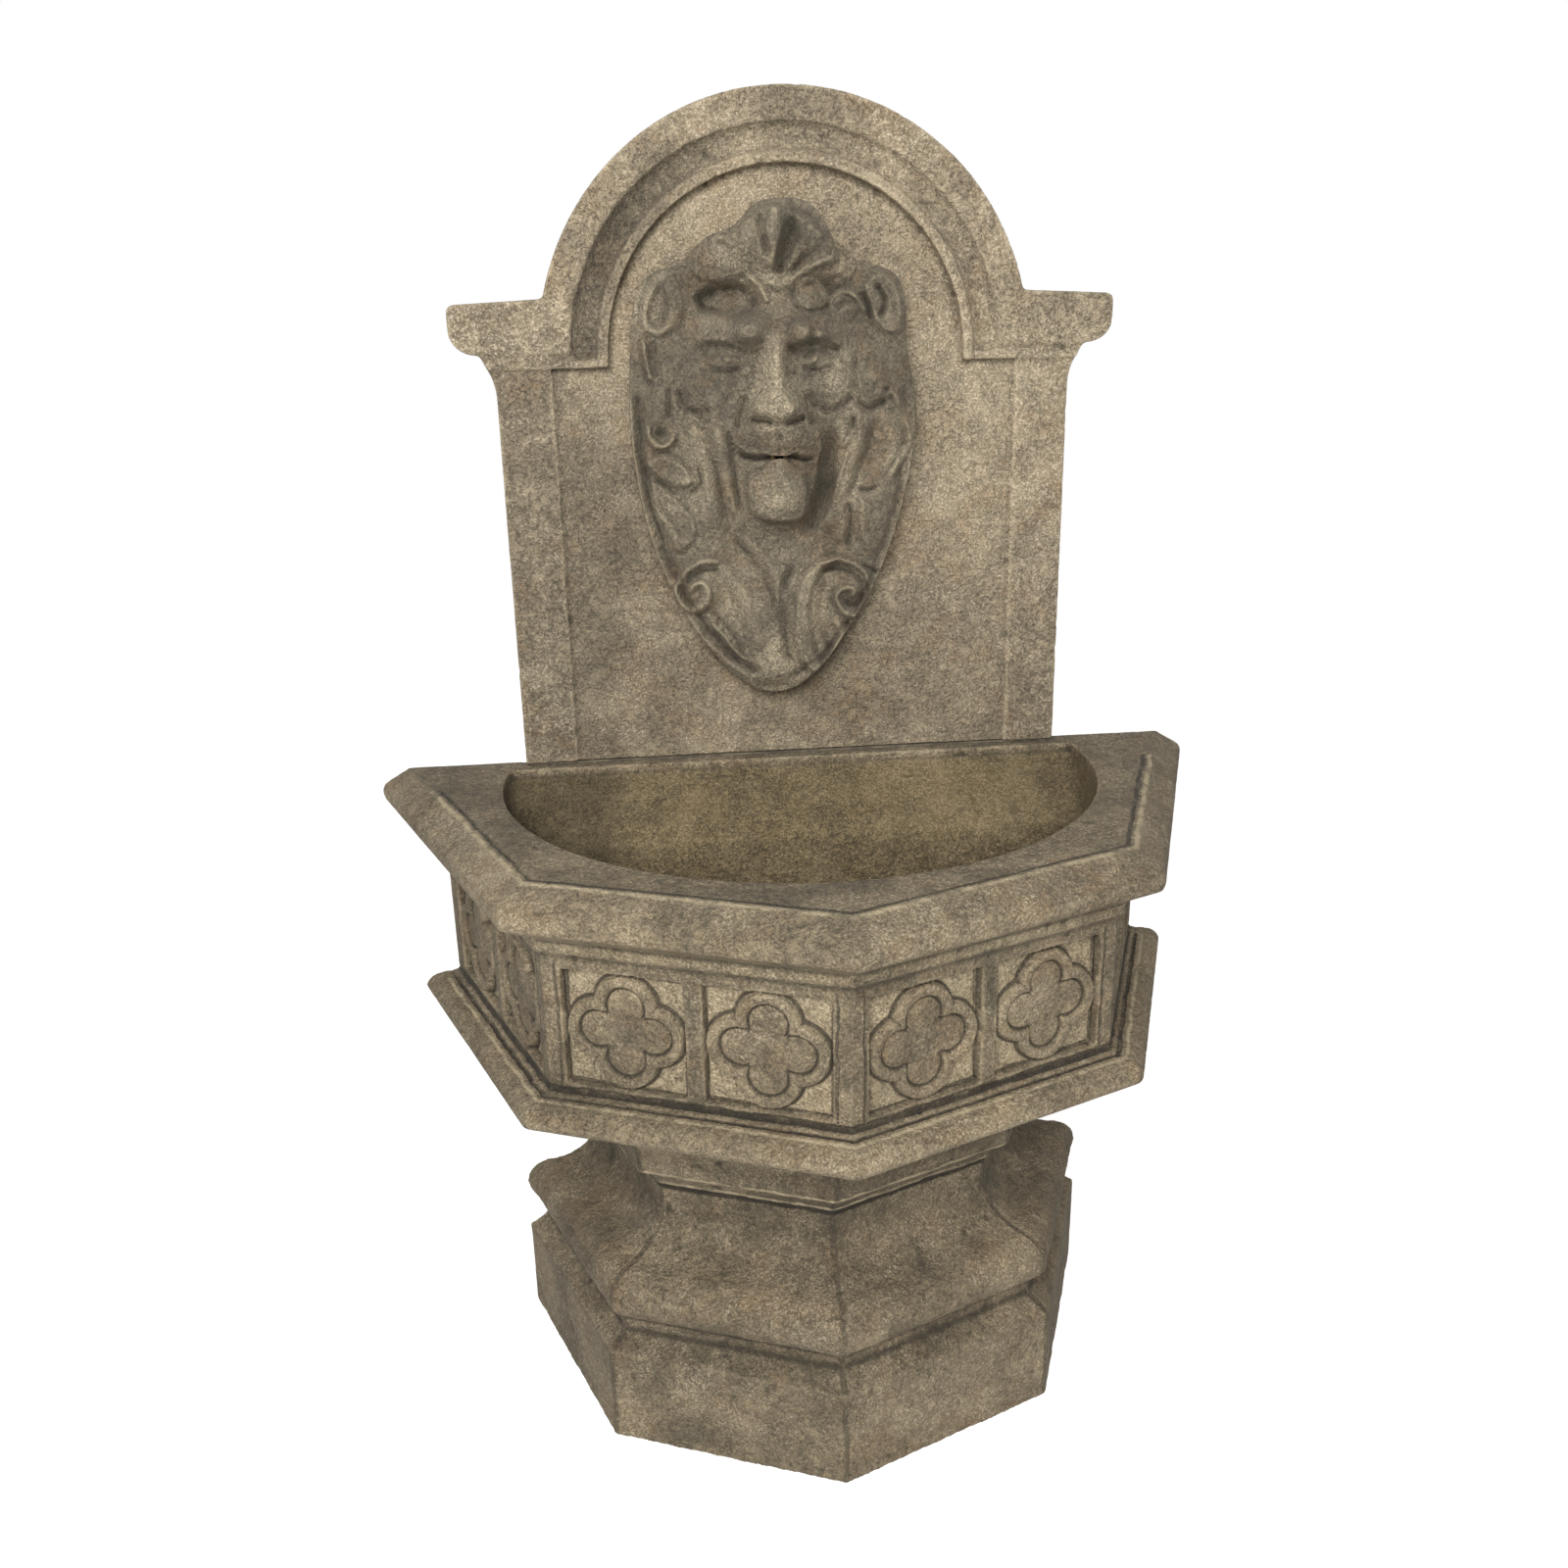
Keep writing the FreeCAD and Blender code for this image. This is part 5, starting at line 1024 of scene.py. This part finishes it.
def carve_scrolls(c):
    """The two volutes, the long leaves under them and the pointed foot."""
    c.ridge([(-60, -106), (-84, -106), (-102, -116), (-110, -132), (-105, -149), (-92, -157), (-79, -151),
             (-76, -138), (-83, -128), (-93, -130), (-94, -138)], 5.5, 8, 0.05)
    c.groove([(-64, -115), (-82, -115), (-96, -123), (-101, -134), (-97, -146), (-89, -149), (-84, -143),
              (-86, -136)], 3.5, 3.6, 0.05)
    c.ridge([(-66, -112), (-52, -124), (-40, -146), (-30, -176), (-22, -206)], 11, 7)
    c.groove([(-76, -158), (-62, -170), (-48, -192), (-40, -212)], 4, 3.2)
    c.ridge([(-70, -172), (-60, -192), (-46, -208), (-36, -222)], 5, 5)
    c.groove([(-66, -166), (-68, -176), (-60, -182)], 2.5, 5)
    c.groove([(-50, -80), (-33, -100), (-14, -134), (0, -176)], 4.5, 3.2)
    c.ridge([(-40, -76), (-20, -100), (-2, -132), (4, -160)], 8, 4)
    c.plate([(68, -105), (41, -109), (21, -126), (12, -153), (11, -186), (18, -216), (33, -234),
             (48, -228), (38, -203), (34, -170), (38, -140), (52, -120)], 9, 7, 2)
    c.ridge([(40, -111), (67, -109), (88, -120), (99, -141), (94, -163), (78, -170), (65, -162),
             (62, -148), (69, -139), (79, -141), (78, -150)], 5.5, 8, 0.05)
    c.groove([(44, -122), (66, -119), (82, -128), (89, -142), (86, -156), (76, -160), (71, -153)], 3.5,
             4.4, 0.05)
    c.groove([(14, -112), (3, -140), (4, -184), (10, -222)], 7, 7)
    c.groove([(50, -126), (42, -152), (44, -182), (54, -208)], 6, 4.5)
    c.ridge([(58, -170), (66, -188), (60, -206), (50, -222)], 7, 6)
    c.groove([(70, -176), (76, -190), (70, -204)], 3.5, 5)
    c.boss(-9, -226, 24, 20, 9)
    c.rough[(np.hypot(c.across + 8, (c.up + 226)) < 24)] += 1.6


def carve_edge(c):
    """The thin rim round the mask and the channel inside it."""
    left = [(-150, 60), (-150, 20), (-146, -24), (-137, -72), (-120, -122), (-97, -168), (-68, -207),
            (-36, -233)]
    right = [(142, 60), (143, 20), (139, -24), (130, -72), (112, -126), (86, -178), (54, -216), (22, -238)]
    c.ridge(left, 5, 4, 0.02)
    c.groove([(x + 10, z + 4) for x, z in left], 5.5, 7, 0.02)
    c.ridge(right, 5, 3, 0.02)
    c.groove([(x - 10, z + 4) for x, z in right], 5, 4, 0.02)


def seen_on_mask(points):
    """Where points show from the camera on the mask's plane: millimetres across and up from its middle."""
    plane_y = MASK_PLANE_Y * MM + AXIS_Y
    reach = (plane_y - CAMERA_AT.y) / (points[:, 1] - CAMERA_AT.y)
    across = CAMERA_AT.x + (points[:, 0] - CAMERA_AT.x) * reach
    up = CAMERA_AT.z + (points[:, 2] - CAMERA_AT.z) * reach
    return across / MM - MASK_X, up / MM - MASK_Z


def mask_patches(across, up, table, most):
    """Soft patches on the mask, added up and held under the most that there may be."""
    total = np.zeros(len(across))
    for x, z, reach_x, reach_z, share in table:
        total += share * np.exp(-(((across - x) / reach_x) ** 2 + ((up - z) / reach_z) ** 2))
    return np.clip(total, 0.0, most)


def close_lips(points):
    """Draws the lips together over the round bore in front of the nozzle, so that only a slit shows."""
    closed = points.copy()
    dx = points[:, 0] / MM - MASK_X
    dz = points[:, 2] / MM - MOUTH_Z
    ahead = (points[:, 1] - AXIS_Y) / MM < NOZZLE_FRONT_Y - 1.0
    kept = LIPS_OPEN + (1.0 - LIPS_OPEN) * smooth_step(np.hypot(dx, dz), *LIPS_REACH)
    closed[ahead, 2] = (MOUTH_Z + dz[ahead] * kept[ahead]) * MM
    return closed


def carved(points, normals, across, up, nose):
    """The mask's points, pushed towards the camera or away from it by the carving and a rough finish."""
    facing = smooth_step(-normals[:, 1], 0.05, 0.45)
    wander_across = STROKE_WANDER * layered_noise(points, 0.026, 91)
    wander_up = STROKE_WANDER * layered_noise(points, 0.026, 97)
    carving = Carving(across + wander_across, up + wander_up)
    for carve in (carve_crest, carve_left_side, carve_face, carve_right_side, carve_scrolls, carve_edge):
        carve(carving)
    rough = 0.45 + carving.rough + 1.1 * nose
    out = STROKE_GAIN * carving.out + rough * layered_noise(points, 0.008, 61, 3, 0.6)
    out += 0.9 * layered_noise(points, 0.024, 71, 2)
    low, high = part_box("lion_mask")
    towards_eye = np.array(CAMERA_AT) - points
    towards_eye /= np.abs(towards_eye[:, 1:2])
    moved = points + towards_eye * (out * facing * MM)[:, None]
    moved[:, 1] = np.maximum(moved[:, 1], low[1] + 0.4 * MM)
    front = facing > 0.0
    moved[front, 1] = np.minimum(moved[front, 1], high[1] - MASK_BACK * MM)
    return moved


def lion_mask(material):
    """The CAD mask's solid, carved with the photograph's curls, leaves, face and scrolls, with painted shade
    in its hollows and dark patches.
    """
    piece = voxel_copy("lion_mask_carved", "lion_mask", MASK_VOXEL)
    mesh = piece.data
    ends = neighbour_ends(mesh)
    points = relax(mesh_points(mesh), ends, 4)
    put_points(mesh, points)
    across, up = seen_on_mask(points)
    nose = np.exp(-((across / 24.0) ** 2 + ((up - 62.0) / 34.0) ** 2))
    points = carved(points, mesh_normals(mesh), across, up, nose)
    points = relax(close_lips(points), ends, 4)
    put_points(mesh, points)
    normals = mesh_normals(mesh)
    small_hollow, small_sharp = hollows_and_edges(points, normals, ends, 6, 0.5 * MM)
    wide_hollow, wide_sharp = hollows_and_edges(points, normals, ends, 60, 3.0 * MM)
    # Dark patches: painted shade in hollows, on the cheeks and beside the chin. Pale patches: patina
    dark = mask_patches(across, up, MASK_DARK, 1.2)
    pale = mask_patches(across, up, MASK_PALE, 1.1)
    # Hollows take painted shade and grime; the dark patches darken through the grime and shade looks
    give_looks(mesh, material, {
        "hollow": 0.15 * small_hollow + 0.65 * wide_hollow,
        "worn": 0.2 * small_sharp + 0.45 * wide_sharp,
        "bloom": pale + 0.5 * nose,
        "grime": 0.40 + 0.30 * layered_noise(points, 0.09, 83) + 0.3 * dark - 0.6 * pale,
        "shade": 0.05 + 0.45 * dark,
    })
    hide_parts("lion_mask")
    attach(piece, "fountain")


# Stone skins

def paint_panel(points, normals):
    """Pale upper right, soiled foot and left side, painted light over the tops of the field and the cove, a
    painted shadow right of the mask, and painted shade in the cove, heavier on the left.
    """
    x, z = points[:, 0] / MM, points[:, 2] / MM
    rise = z - ARCH_Z
    radius = np.hypot(x, rise)
    arch = smooth_step(rise, -6.0, 6.0)
    left = smooth_step(x, 60.0, -60.0)
    cove = within(radius, *COVE) * arch
    ring = peak(radius, RING_R, 5.0) * arch * (1.0 - 0.9 * left)
    edge = peak(np.abs(x), STRIP_EDGE_X, 3.5) * (z < STRIP_TOP_Z)
    dark_left = arch * within(radius, *DARK_LEFT) * smooth_step(x, -40.0, -150.0)
    pale = patches(points, PANEL_PALE) + 0.7 * ring + 0.7 * edge
    # Painted light over the top of the field and of the cove, where the arch's overhang casts its shadow
    pale += 0.35 * arch * smooth_step(radius, 184.0, 176.0) * smooth_step(rise, 90.0, 150.0)
    pale += 0.30 * cove * smooth_step(rise, 120.0, 190.0)
    # Soiled patches, and painted shade in the cove, heavier on the left
    darkening = patches(points, PANEL_SOIL) + cove * (0.15 + 0.45 * left)
    # Darker patches, the first a painted shadow right of the mask, a darker left edge of the arch, and more
    # painted shade in the cove's left
    shade = patches(points, PANEL_DARK) + 0.60 * dark_left + 0.15 * cove * left
    return {"bloom": pale, "grime": darkening, "shade": shade}


def back_panel(material):
    piece = voxel_copy("back_panel_worn", "back_panel", PANEL_VOXEL)
    dress_skin(piece, material, paint_panel, wear_mm=0.6, roll_mm=0.7, lump_mm=0.4, dirt_and_shade=0.45)
    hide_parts("back_panel")
    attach(piece, "fountain")


def face_places(points, turn):
    """Points as seen on a basin face: along it, outwards from the middle, and up, in millimetres."""
    c, s = math.cos(math.radians(turn)), math.sin(math.radians(turn))
    x = points[:, 0] / MM
    y = (points[:, 1] - AXIS_Y) / MM
    return x * c + y * s, x * s - y * c, points[:, 2] / MM


def face_points(along, outward, up, turn):
    """Back from a face's own measures to the frame's metres."""
    c, s = math.cos(math.radians(turn)), math.sin(math.radians(turn))
    x = along * c + outward * s
    y = along * s - outward * c
    return np.stack((x * MM, y * MM + AXIS_Y, up * MM), axis=1)


def inside_bowl(points):
    """1 on the wall and floor of the bowl, fading to 0 at its lip."""
    reach = np.hypot(points[:, 0], points[:, 1] - AXIS_Y)
    held = smooth_step(reach, *BOWL_WALL_R) * smooth_step(points[:, 1], *BOWL_BACK_Y)
    return held * smooth_step(points[:, 2], *BOWL_LIP_Z) * (points[:, 2] > BOWL_FLOOR_Z)


def reshape_basin(points, ends):
    """Eases the crease in the bowl's back wall, and sinks the skin behind each quatrefoil's finer tile."""
    eased = relax(points, ends, BOWL_ROUNDS)
    share = inside_bowl(points)[:, None]
    cleared = points * (1.0 - share) + eased * share
    deep = BAND_FLAT - BAND_SINK
    reach = SQUARE / 2.0 - 0.2
    for turn in FACE_TURNS:
        along, outward, up = face_places(points, turn)
        moved = face_points(along, np.full(len(points), deep), up, turn)
        for side in SIDES:
            inside = (np.abs(along - side * SQUARE_PITCH) < reach) & (np.abs(up - SQUARE_Z) < reach)
            inside &= (outward > deep) & (outward < BAND_FLAT + 3.0)
            cleared[inside] = moved[inside]
    return cleared


def lobed_depth(x, z, lobe_r, lobe_at):
    """How far inside a quatrefoil's outline each place is, below 0 outside."""
    best = lobe_r - np.maximum(np.abs(x), np.abs(z))
    for lx, lz in ((lobe_at, 0.0), (-lobe_at, 0.0), (0.0, lobe_at), (0.0, -lobe_at)):
        best = np.maximum(best, lobe_r - np.hypot(x - lx, z - lz))
    return best


def quatrefoil_relief(x, z):
    """A quatrefoil tile's depth below the band's face, how cream and grey each place is, and the painted
    shade and soiling in its grooves.
    """
    outer = lobed_depth(x, z, LOBE_R, LOBE_AT)
    inner = lobed_depth(x, z, INNER_LOBE_R, INNER_LOBE_AT)
    edge = np.maximum(np.abs(x), np.abs(z))
    cusp = np.abs(np.abs(x) - np.abs(z)) / math.sqrt(2.0)
    ring = smooth_step(outer, -0.6, 3.2)
    field = smooth_step(inner, -0.8, 1.4)
    on_ring = ring * (1.0 - field)
    across_ring = np.clip(outer / np.maximum(outer - inner, 1e-6), 0.0, 1.0)
    depth = TILE_DEPTH + TILE_EDGE_SINK * smooth_step(edge, 55.5, 58.5) + RING_GROOVE * peak(outer, -0.8, 2.4)
    depth -= RING_RISE * ring
    depth -= RING_CROWN * ring * np.sin(math.pi * across_ring)
    depth += FIELD_GROOVE * peak(inner, 0.4, 2.4) + FIELD_SINK * field
    depth -= FIELD_CROWN * smooth_step(inner, 2.0, 9.0)
    depth += CUSP_GROOVE * on_ring * peak(cusp, 0.0, 1.6)
    cream = 1.0 - ring + 0.12 * on_ring
    grey = 0.65 * np.exp(-(x * x + z * z) / 24.0 ** 2) + 0.12 * on_ring
    # Painted shade and soiling in the grooves round the ring and the field, and along the tile's edge
    dirt_and_shade = 0.85 * peak(outer, -0.6, 2.2) + 0.70 * peak(inner, 0.4, 1.9) + 0.75 * smooth_step(edge, 56.0, 57.6)
    return depth, cream, grey, dirt_and_shade


def tile_mesh(name, x, z, depth, count, middle, turn):
    """A tile's front, count points each way, and a skirt from its border back into the band."""
    front = face_points(x + middle, BAND_FLAT - depth, z + SQUARE_Z, turn)
    number = np.arange(count * count).reshape(count, count)
    corners = (number[:-1, :-1], number[1:, :-1], number[1:, 1:], number[:-1, 1:])
    faces = np.stack(corners, axis=-1).reshape(-1, 4)
    border = np.concatenate((number[:-1, 0], number[-1, :-1], number[:0:-1, -1], number[0, :0:-1]))
    sunk = np.full(len(border), BAND_FLAT - TILE_BACK)
    back = face_points(x[border] + middle, sunk, z[border] + SQUARE_Z, turn)
    first_back = count * count + np.arange(len(border))
    skirt = np.stack((border, first_back, np.roll(first_back, -1), np.roll(border, -1)), axis=-1)
    mesh = bpy.data.meshes.new(name)
    points = np.vstack((front, back))
    mesh.from_pydata(points, [], np.vstack((faces, skirt)).tolist())
    mesh.update()
    return mesh, points


def quatrefoil_tile(name, turn, side, material, seed):
    """One square of the band, carved by hand: each is a little different."""
    chance = np.random.default_rng(seed)
    half = SQUARE / 2.0 - 0.3
    count = int(round(2.0 * half / TILE_STEP)) + 1
    line = np.linspace(-half, half, count)
    x, z = (grid.ravel() for grid in np.meshgrid(line, line, indexing="ij"))
    tilt = math.radians(chance.uniform(-2.5, 2.5))
    grow = chance.uniform(0.985, 1.015)
    shift_x, shift_z = chance.uniform(-0.8, 0.8, 2)
    flat = np.stack((x, np.full(len(x), seed * 50.0), z), axis=1) * MM
    sway_x = 0.6 * layered_noise(flat, 0.022, 5, 2)
    sway_z = 0.6 * layered_noise(flat, 0.022, 15, 2)
    c, s = math.cos(tilt), math.sin(tilt)
    px = ((x - shift_x) * c + (z - shift_z) * s) * grow + sway_x
    pz = ((z - shift_z) * c - (x - shift_x) * s) * grow + sway_z
    depth, cream, grey, dirt_and_shade = quatrefoil_relief(px, pz)
    dirt_and_shade *= 0.75 + 0.5 * layered_noise(flat, 0.030, 55, 2)
    depth += 0.35 * layered_noise(flat, 0.007, 25, 3, 0.6) + 0.6 * layered_noise(flat, 0.035, 35, 2)
    depth = np.clip(depth, 0.3, 12.0)
    mesh, points = tile_mesh(name, x, z, depth, count, side * SQUARE_PITCH, turn)
    piece = bpy.data.objects.new(name, mesh)
    bpy.context.collection.objects.link(piece)
    hollow, sharp = hollows_and_edges(points, mesh_normals(mesh), neighbour_ends(mesh), 5, 0.45 * MM)
    on_front = len(x)
    skirt = np.zeros(len(points) - on_front)
    # Painted shade on the tiles of the flanks, and in the grooves and over the skirts that go back into the
    # band
    flank_shade = 0.35 if abs(turn) > 45.0 else 0.0
    give_looks(mesh, material, {
        "hollow": np.append(hollow[:on_front] + dirt_and_shade, skirt + 1.0),
        "worn": np.append(0.5 * sharp[:on_front], skirt),
        "bloom": np.append(cream * chance.uniform(0.9, 1.2), skirt),
        "grime": np.append(grey + 0.25 * np.clip(noise_at(flat, 0.05, 45), 0.0, 1.0), skirt),
        "shade": 0.22 + flank_shade,
    })
    return piece


def flank_shade_share(normals):
    """1 on faces that look along the wall, 0 on faces that look away from it: where the flanks take painted
    shade.
    """
    return smooth_step(np.abs(normals[:, 0]), 0.62, 0.88)


def paint_basin(points, normals):
    """Dirty rim and band, painted shade on the flanks, a damp bowl with a painted shadow of the rim at its
    left end, a darker right end and painted shade low down, and a pale fillet over the band.
    """
    x, z, level = points[:, 0], points[:, 2], normals[:, 2]
    bowl = inside_bowl(points)
    outside = 1.0 - bowl
    darkening = 0.7 * smooth_step(level, 0.75, 0.97) * smooth_step(z, *RIM_Z) + 0.1
    # Painted shade on the flanks, over a basin a little darker all over
    shade = 0.22 + 0.35 * flank_shade_share(normals) * outside
    for turn in FACE_TURNS:
        along, outward, up = face_places(points, turn)
        on_band = (np.abs(outward - BAND_FLAT) < 6.0) & (up > BAND_MM[0]) & (up < BAND_MM[1])
        darkening += 0.85 * on_band * np.exp(-((along / 9.0) ** 2))
        darkening += 0.25 * on_band * (np.abs(up - SQUARE_Z) > SQUARE / 2.0)
        shade += 0.12 * on_band
    # Painted shadow of the rim over the bowl's left end, and a darker right end
    shade += bowl * (1.35 * smooth_step(x, *BOWL_LEFT_X) + 0.35 * smooth_step(x, *BOWL_RIGHT_X))
    # Painted shade low in the bowl
    shade += 0.08 * bowl * smooth_step(z, *BOWL_LOW_Z)
    bevel = within(level, 0.25, 0.45, 0.70, 0.85) * outside * (z > BEVEL_Z)
    shade += (0.12 + 0.30 * layered_noise(points, 0.055, 161, 2)) * bevel
    shade += smooth_step(z, *LOW_MOULDING_Z) * (0.12 - 0.20 * smooth_step(x, -0.020, 0.040))
    fillet = within(z, *FILLET_Z)
    shade -= 0.15 * fillet
    return {"bloom": 0.1 + 0.45 * fillet * outside, "grime": darkening, "damp": bowl, "shade": shade}


def basin(material):
    piece = voxel_copy("basin_worn", "basin", BASIN_VOXEL)
    dress_skin(piece, material, paint_basin, wear_mm=0.45, roll_mm=0.45, lump_mm=0.35, dirt_and_shade=1.3,
               reshape=reshape_basin)
    tiles = []
    for number, (turn, side) in enumerate(itertools.product(FACE_TURNS, SIDES)):
        tiles.append(quatrefoil_tile(f"tile_{number}", turn, side, material, 100 + number))
    join(piece, tiles)
    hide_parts("basin")
    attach(piece, "fountain")


def reshape_pedestal(points, ends):
    """Cuts the two quirks under the cap and lets the roll wander, as hand-finished casts do."""
    x, y, z = points[:, 0], points[:, 1] - AXIS_Y, points[:, 2]
    roll = within(z, *ROLL_Z)
    out = 3.0 * layered_noise(points, 0.085, 131, 2) * roll - 1.5 * roll
    out += 1.1 * layered_noise(points, 0.026, 137, 3, 0.6) - 1.2
    for height, line_out, half_height in CAP_LINES:
        out += line_out * peak(z / MM, height, half_height)
    place = np.stack((x, y, np.zeros(len(points))), axis=1)
    reach = np.maximum(np.hypot(x, y), 1e-6)
    ahead = smooth_step(points[:, 1], AXIS_Y - 0.002, AXIS_Y - 0.030)
    held = ahead * smooth_step(reach, *PEDESTAL_OUTSIDE_R) * within(z, *PEDESTAL_Z)
    return points + place / reach[:, None] * (out * held * MM)[:, None]


def paint_pedestal(points, normals):
    """Painted shade on the flanks, on the neck under the basin, in the crease where the plinth meets the roll
    and under the basin where the cap starts, over a pedestal darker all over.
    """
    x, z = points[:, 0], points[:, 2]
    # Darker all over, with painted shade on the flanks and on the neck under the basin
    shade = 0.34 + 0.42 * flank_shade_share(normals) + 0.12 * within(z, *NECK_Z)
    # Painted shade in the crease over the plinth, and under the basin where the cap starts, heavier on the
    # right
    shade += 0.30 * peak(z / MM, PLINTH_TOP_MM, 24.0)
    shade += 0.30 * peak(z / MM, CAP_FOOT_MM, 15.0) * (1.0 + 0.6 * smooth_step(x, -0.01, 0.01))
    shade += 0.22 * layered_noise(points, 0.060, 151, 2)
    # The neck under the basin also takes painted shade through its grime look
    neck = np.exp(-((z - 0.28) / 0.06) ** 2)
    return {"bloom": 0.05, "grime": 0.4 * neck + 0.2, "shade": shade}


def pedestal(material):
    piece = voxel_copy("pedestal_worn", "pedestal", PEDESTAL_VOXEL)
    dress_skin(piece, material, paint_pedestal, wear_mm=0.9, roll_mm=0.8, lump_mm=1.7, dirt_and_shade=1.5,
               reshape=reshape_pedestal)
    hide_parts("pedestal")
    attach(piece, "fountain")


# Floor, light and camera

def white_to_camera(t):
    """1 for what the camera sees, itself or in glossy and clear surfaces, and 0 for light on the object."""
    path = t.nodes.new("ShaderNodeLightPath")
    return t.most([path.outputs[name] for name in ("Is Camera Ray", "Is Glossy Ray", "Is Transmission Ray")])


def floor():
    bpy.ops.mesh.primitive_plane_add(size=FLOOR_SIZE, location=(0.0, 0.0, 0.0))
    plane = bpy.context.object
    plane.name = "floor"
    t = Tree(bpy.data.materials.new("pale floor"))
    grain = t.node("TexNoise", {"Scale": 40.0}, "Fac")
    t.shader("Emission Color", WHITE)
    t.shader("Emission Strength", t.times(white_to_camera(t), FLOOR_GLOW))
    tint = t.mix(grain, linear(214, 214, 212), linear(222, 222, 220))
    plane.data.materials.append(t.finish(tint, 0.9))


def world_light():
    """Soft light from all round, and plain white behind the object."""
    world = bpy.data.worlds.new("studio")
    bpy.context.scene.world = world
    t = Tree(world)
    soft = t.nodes["Background"]
    soft.inputs["Color"].default_value = WORLD_COLOUR
    soft.inputs["Strength"].default_value = WORLD_STRENGTH
    white = t.node("Background", {"Color": WHITE, "Strength": 1.0}, "Background")
    both = t.node("MixShader", {"Fac": white_to_camera(t), 1: soft.outputs["Background"], 2: white}, "Shader")
    t.links.new(both, t.nodes["World Output"].inputs["Surface"])


def lamp():
    data = bpy.data.lights.new("key", "AREA")
    data.shape = "DISK"
    data.size = LAMP_SIZE
    data.energy = LAMP_WATTS
    data.color = LAMP_COLOUR
    made = bpy.data.objects.new("key", data)
    bpy.context.collection.objects.link(made)
    made.location = LAMP_AT
    made.rotation_euler = (Vector(LAMP_AIM) - Vector(LAMP_AT)).to_track_quat("-Z", "Y").to_euler()


def camera():
    data = bpy.data.cameras.new("camera")
    data.lens = CAMERA_LENS
    data.shift_x = CAMERA_SHIFT_X
    data.shift_y = CAMERA_SHIFT_Y
    data.clip_start = CAMERA_NEAR
    yaw, pitch, roll = CAMERA_YAW, CAMERA_PITCH, CAMERA_ROLL
    forward = Vector((math.sin(yaw) * math.cos(pitch), math.cos(yaw) * math.cos(pitch), math.sin(pitch)))
    aside = Vector((math.cos(yaw), -math.sin(yaw), 0.0))
    above = aside.cross(forward)
    right = aside * math.cos(roll) + above * math.sin(roll)
    up = above * math.cos(roll) - aside * math.sin(roll)
    turn = Matrix((right, up, -forward)).transposed().to_4x4()
    made = bpy.data.objects.new("camera", data)
    bpy.context.collection.objects.link(made)
    made.matrix_world = Matrix.Translation(CAMERA_AT) @ turn
    bpy.context.scene.camera = made


bpy.context.scene.view_settings.view_transform = "Standard"
camera()
lamp()
world_light()
floor()
materials = dress_nodes()
back_panel(panel_stone())
basin(materials["cast_stone"])
pedestal(materials["cast_stone"])
lion_mask(materials["cast_stone_mask"])
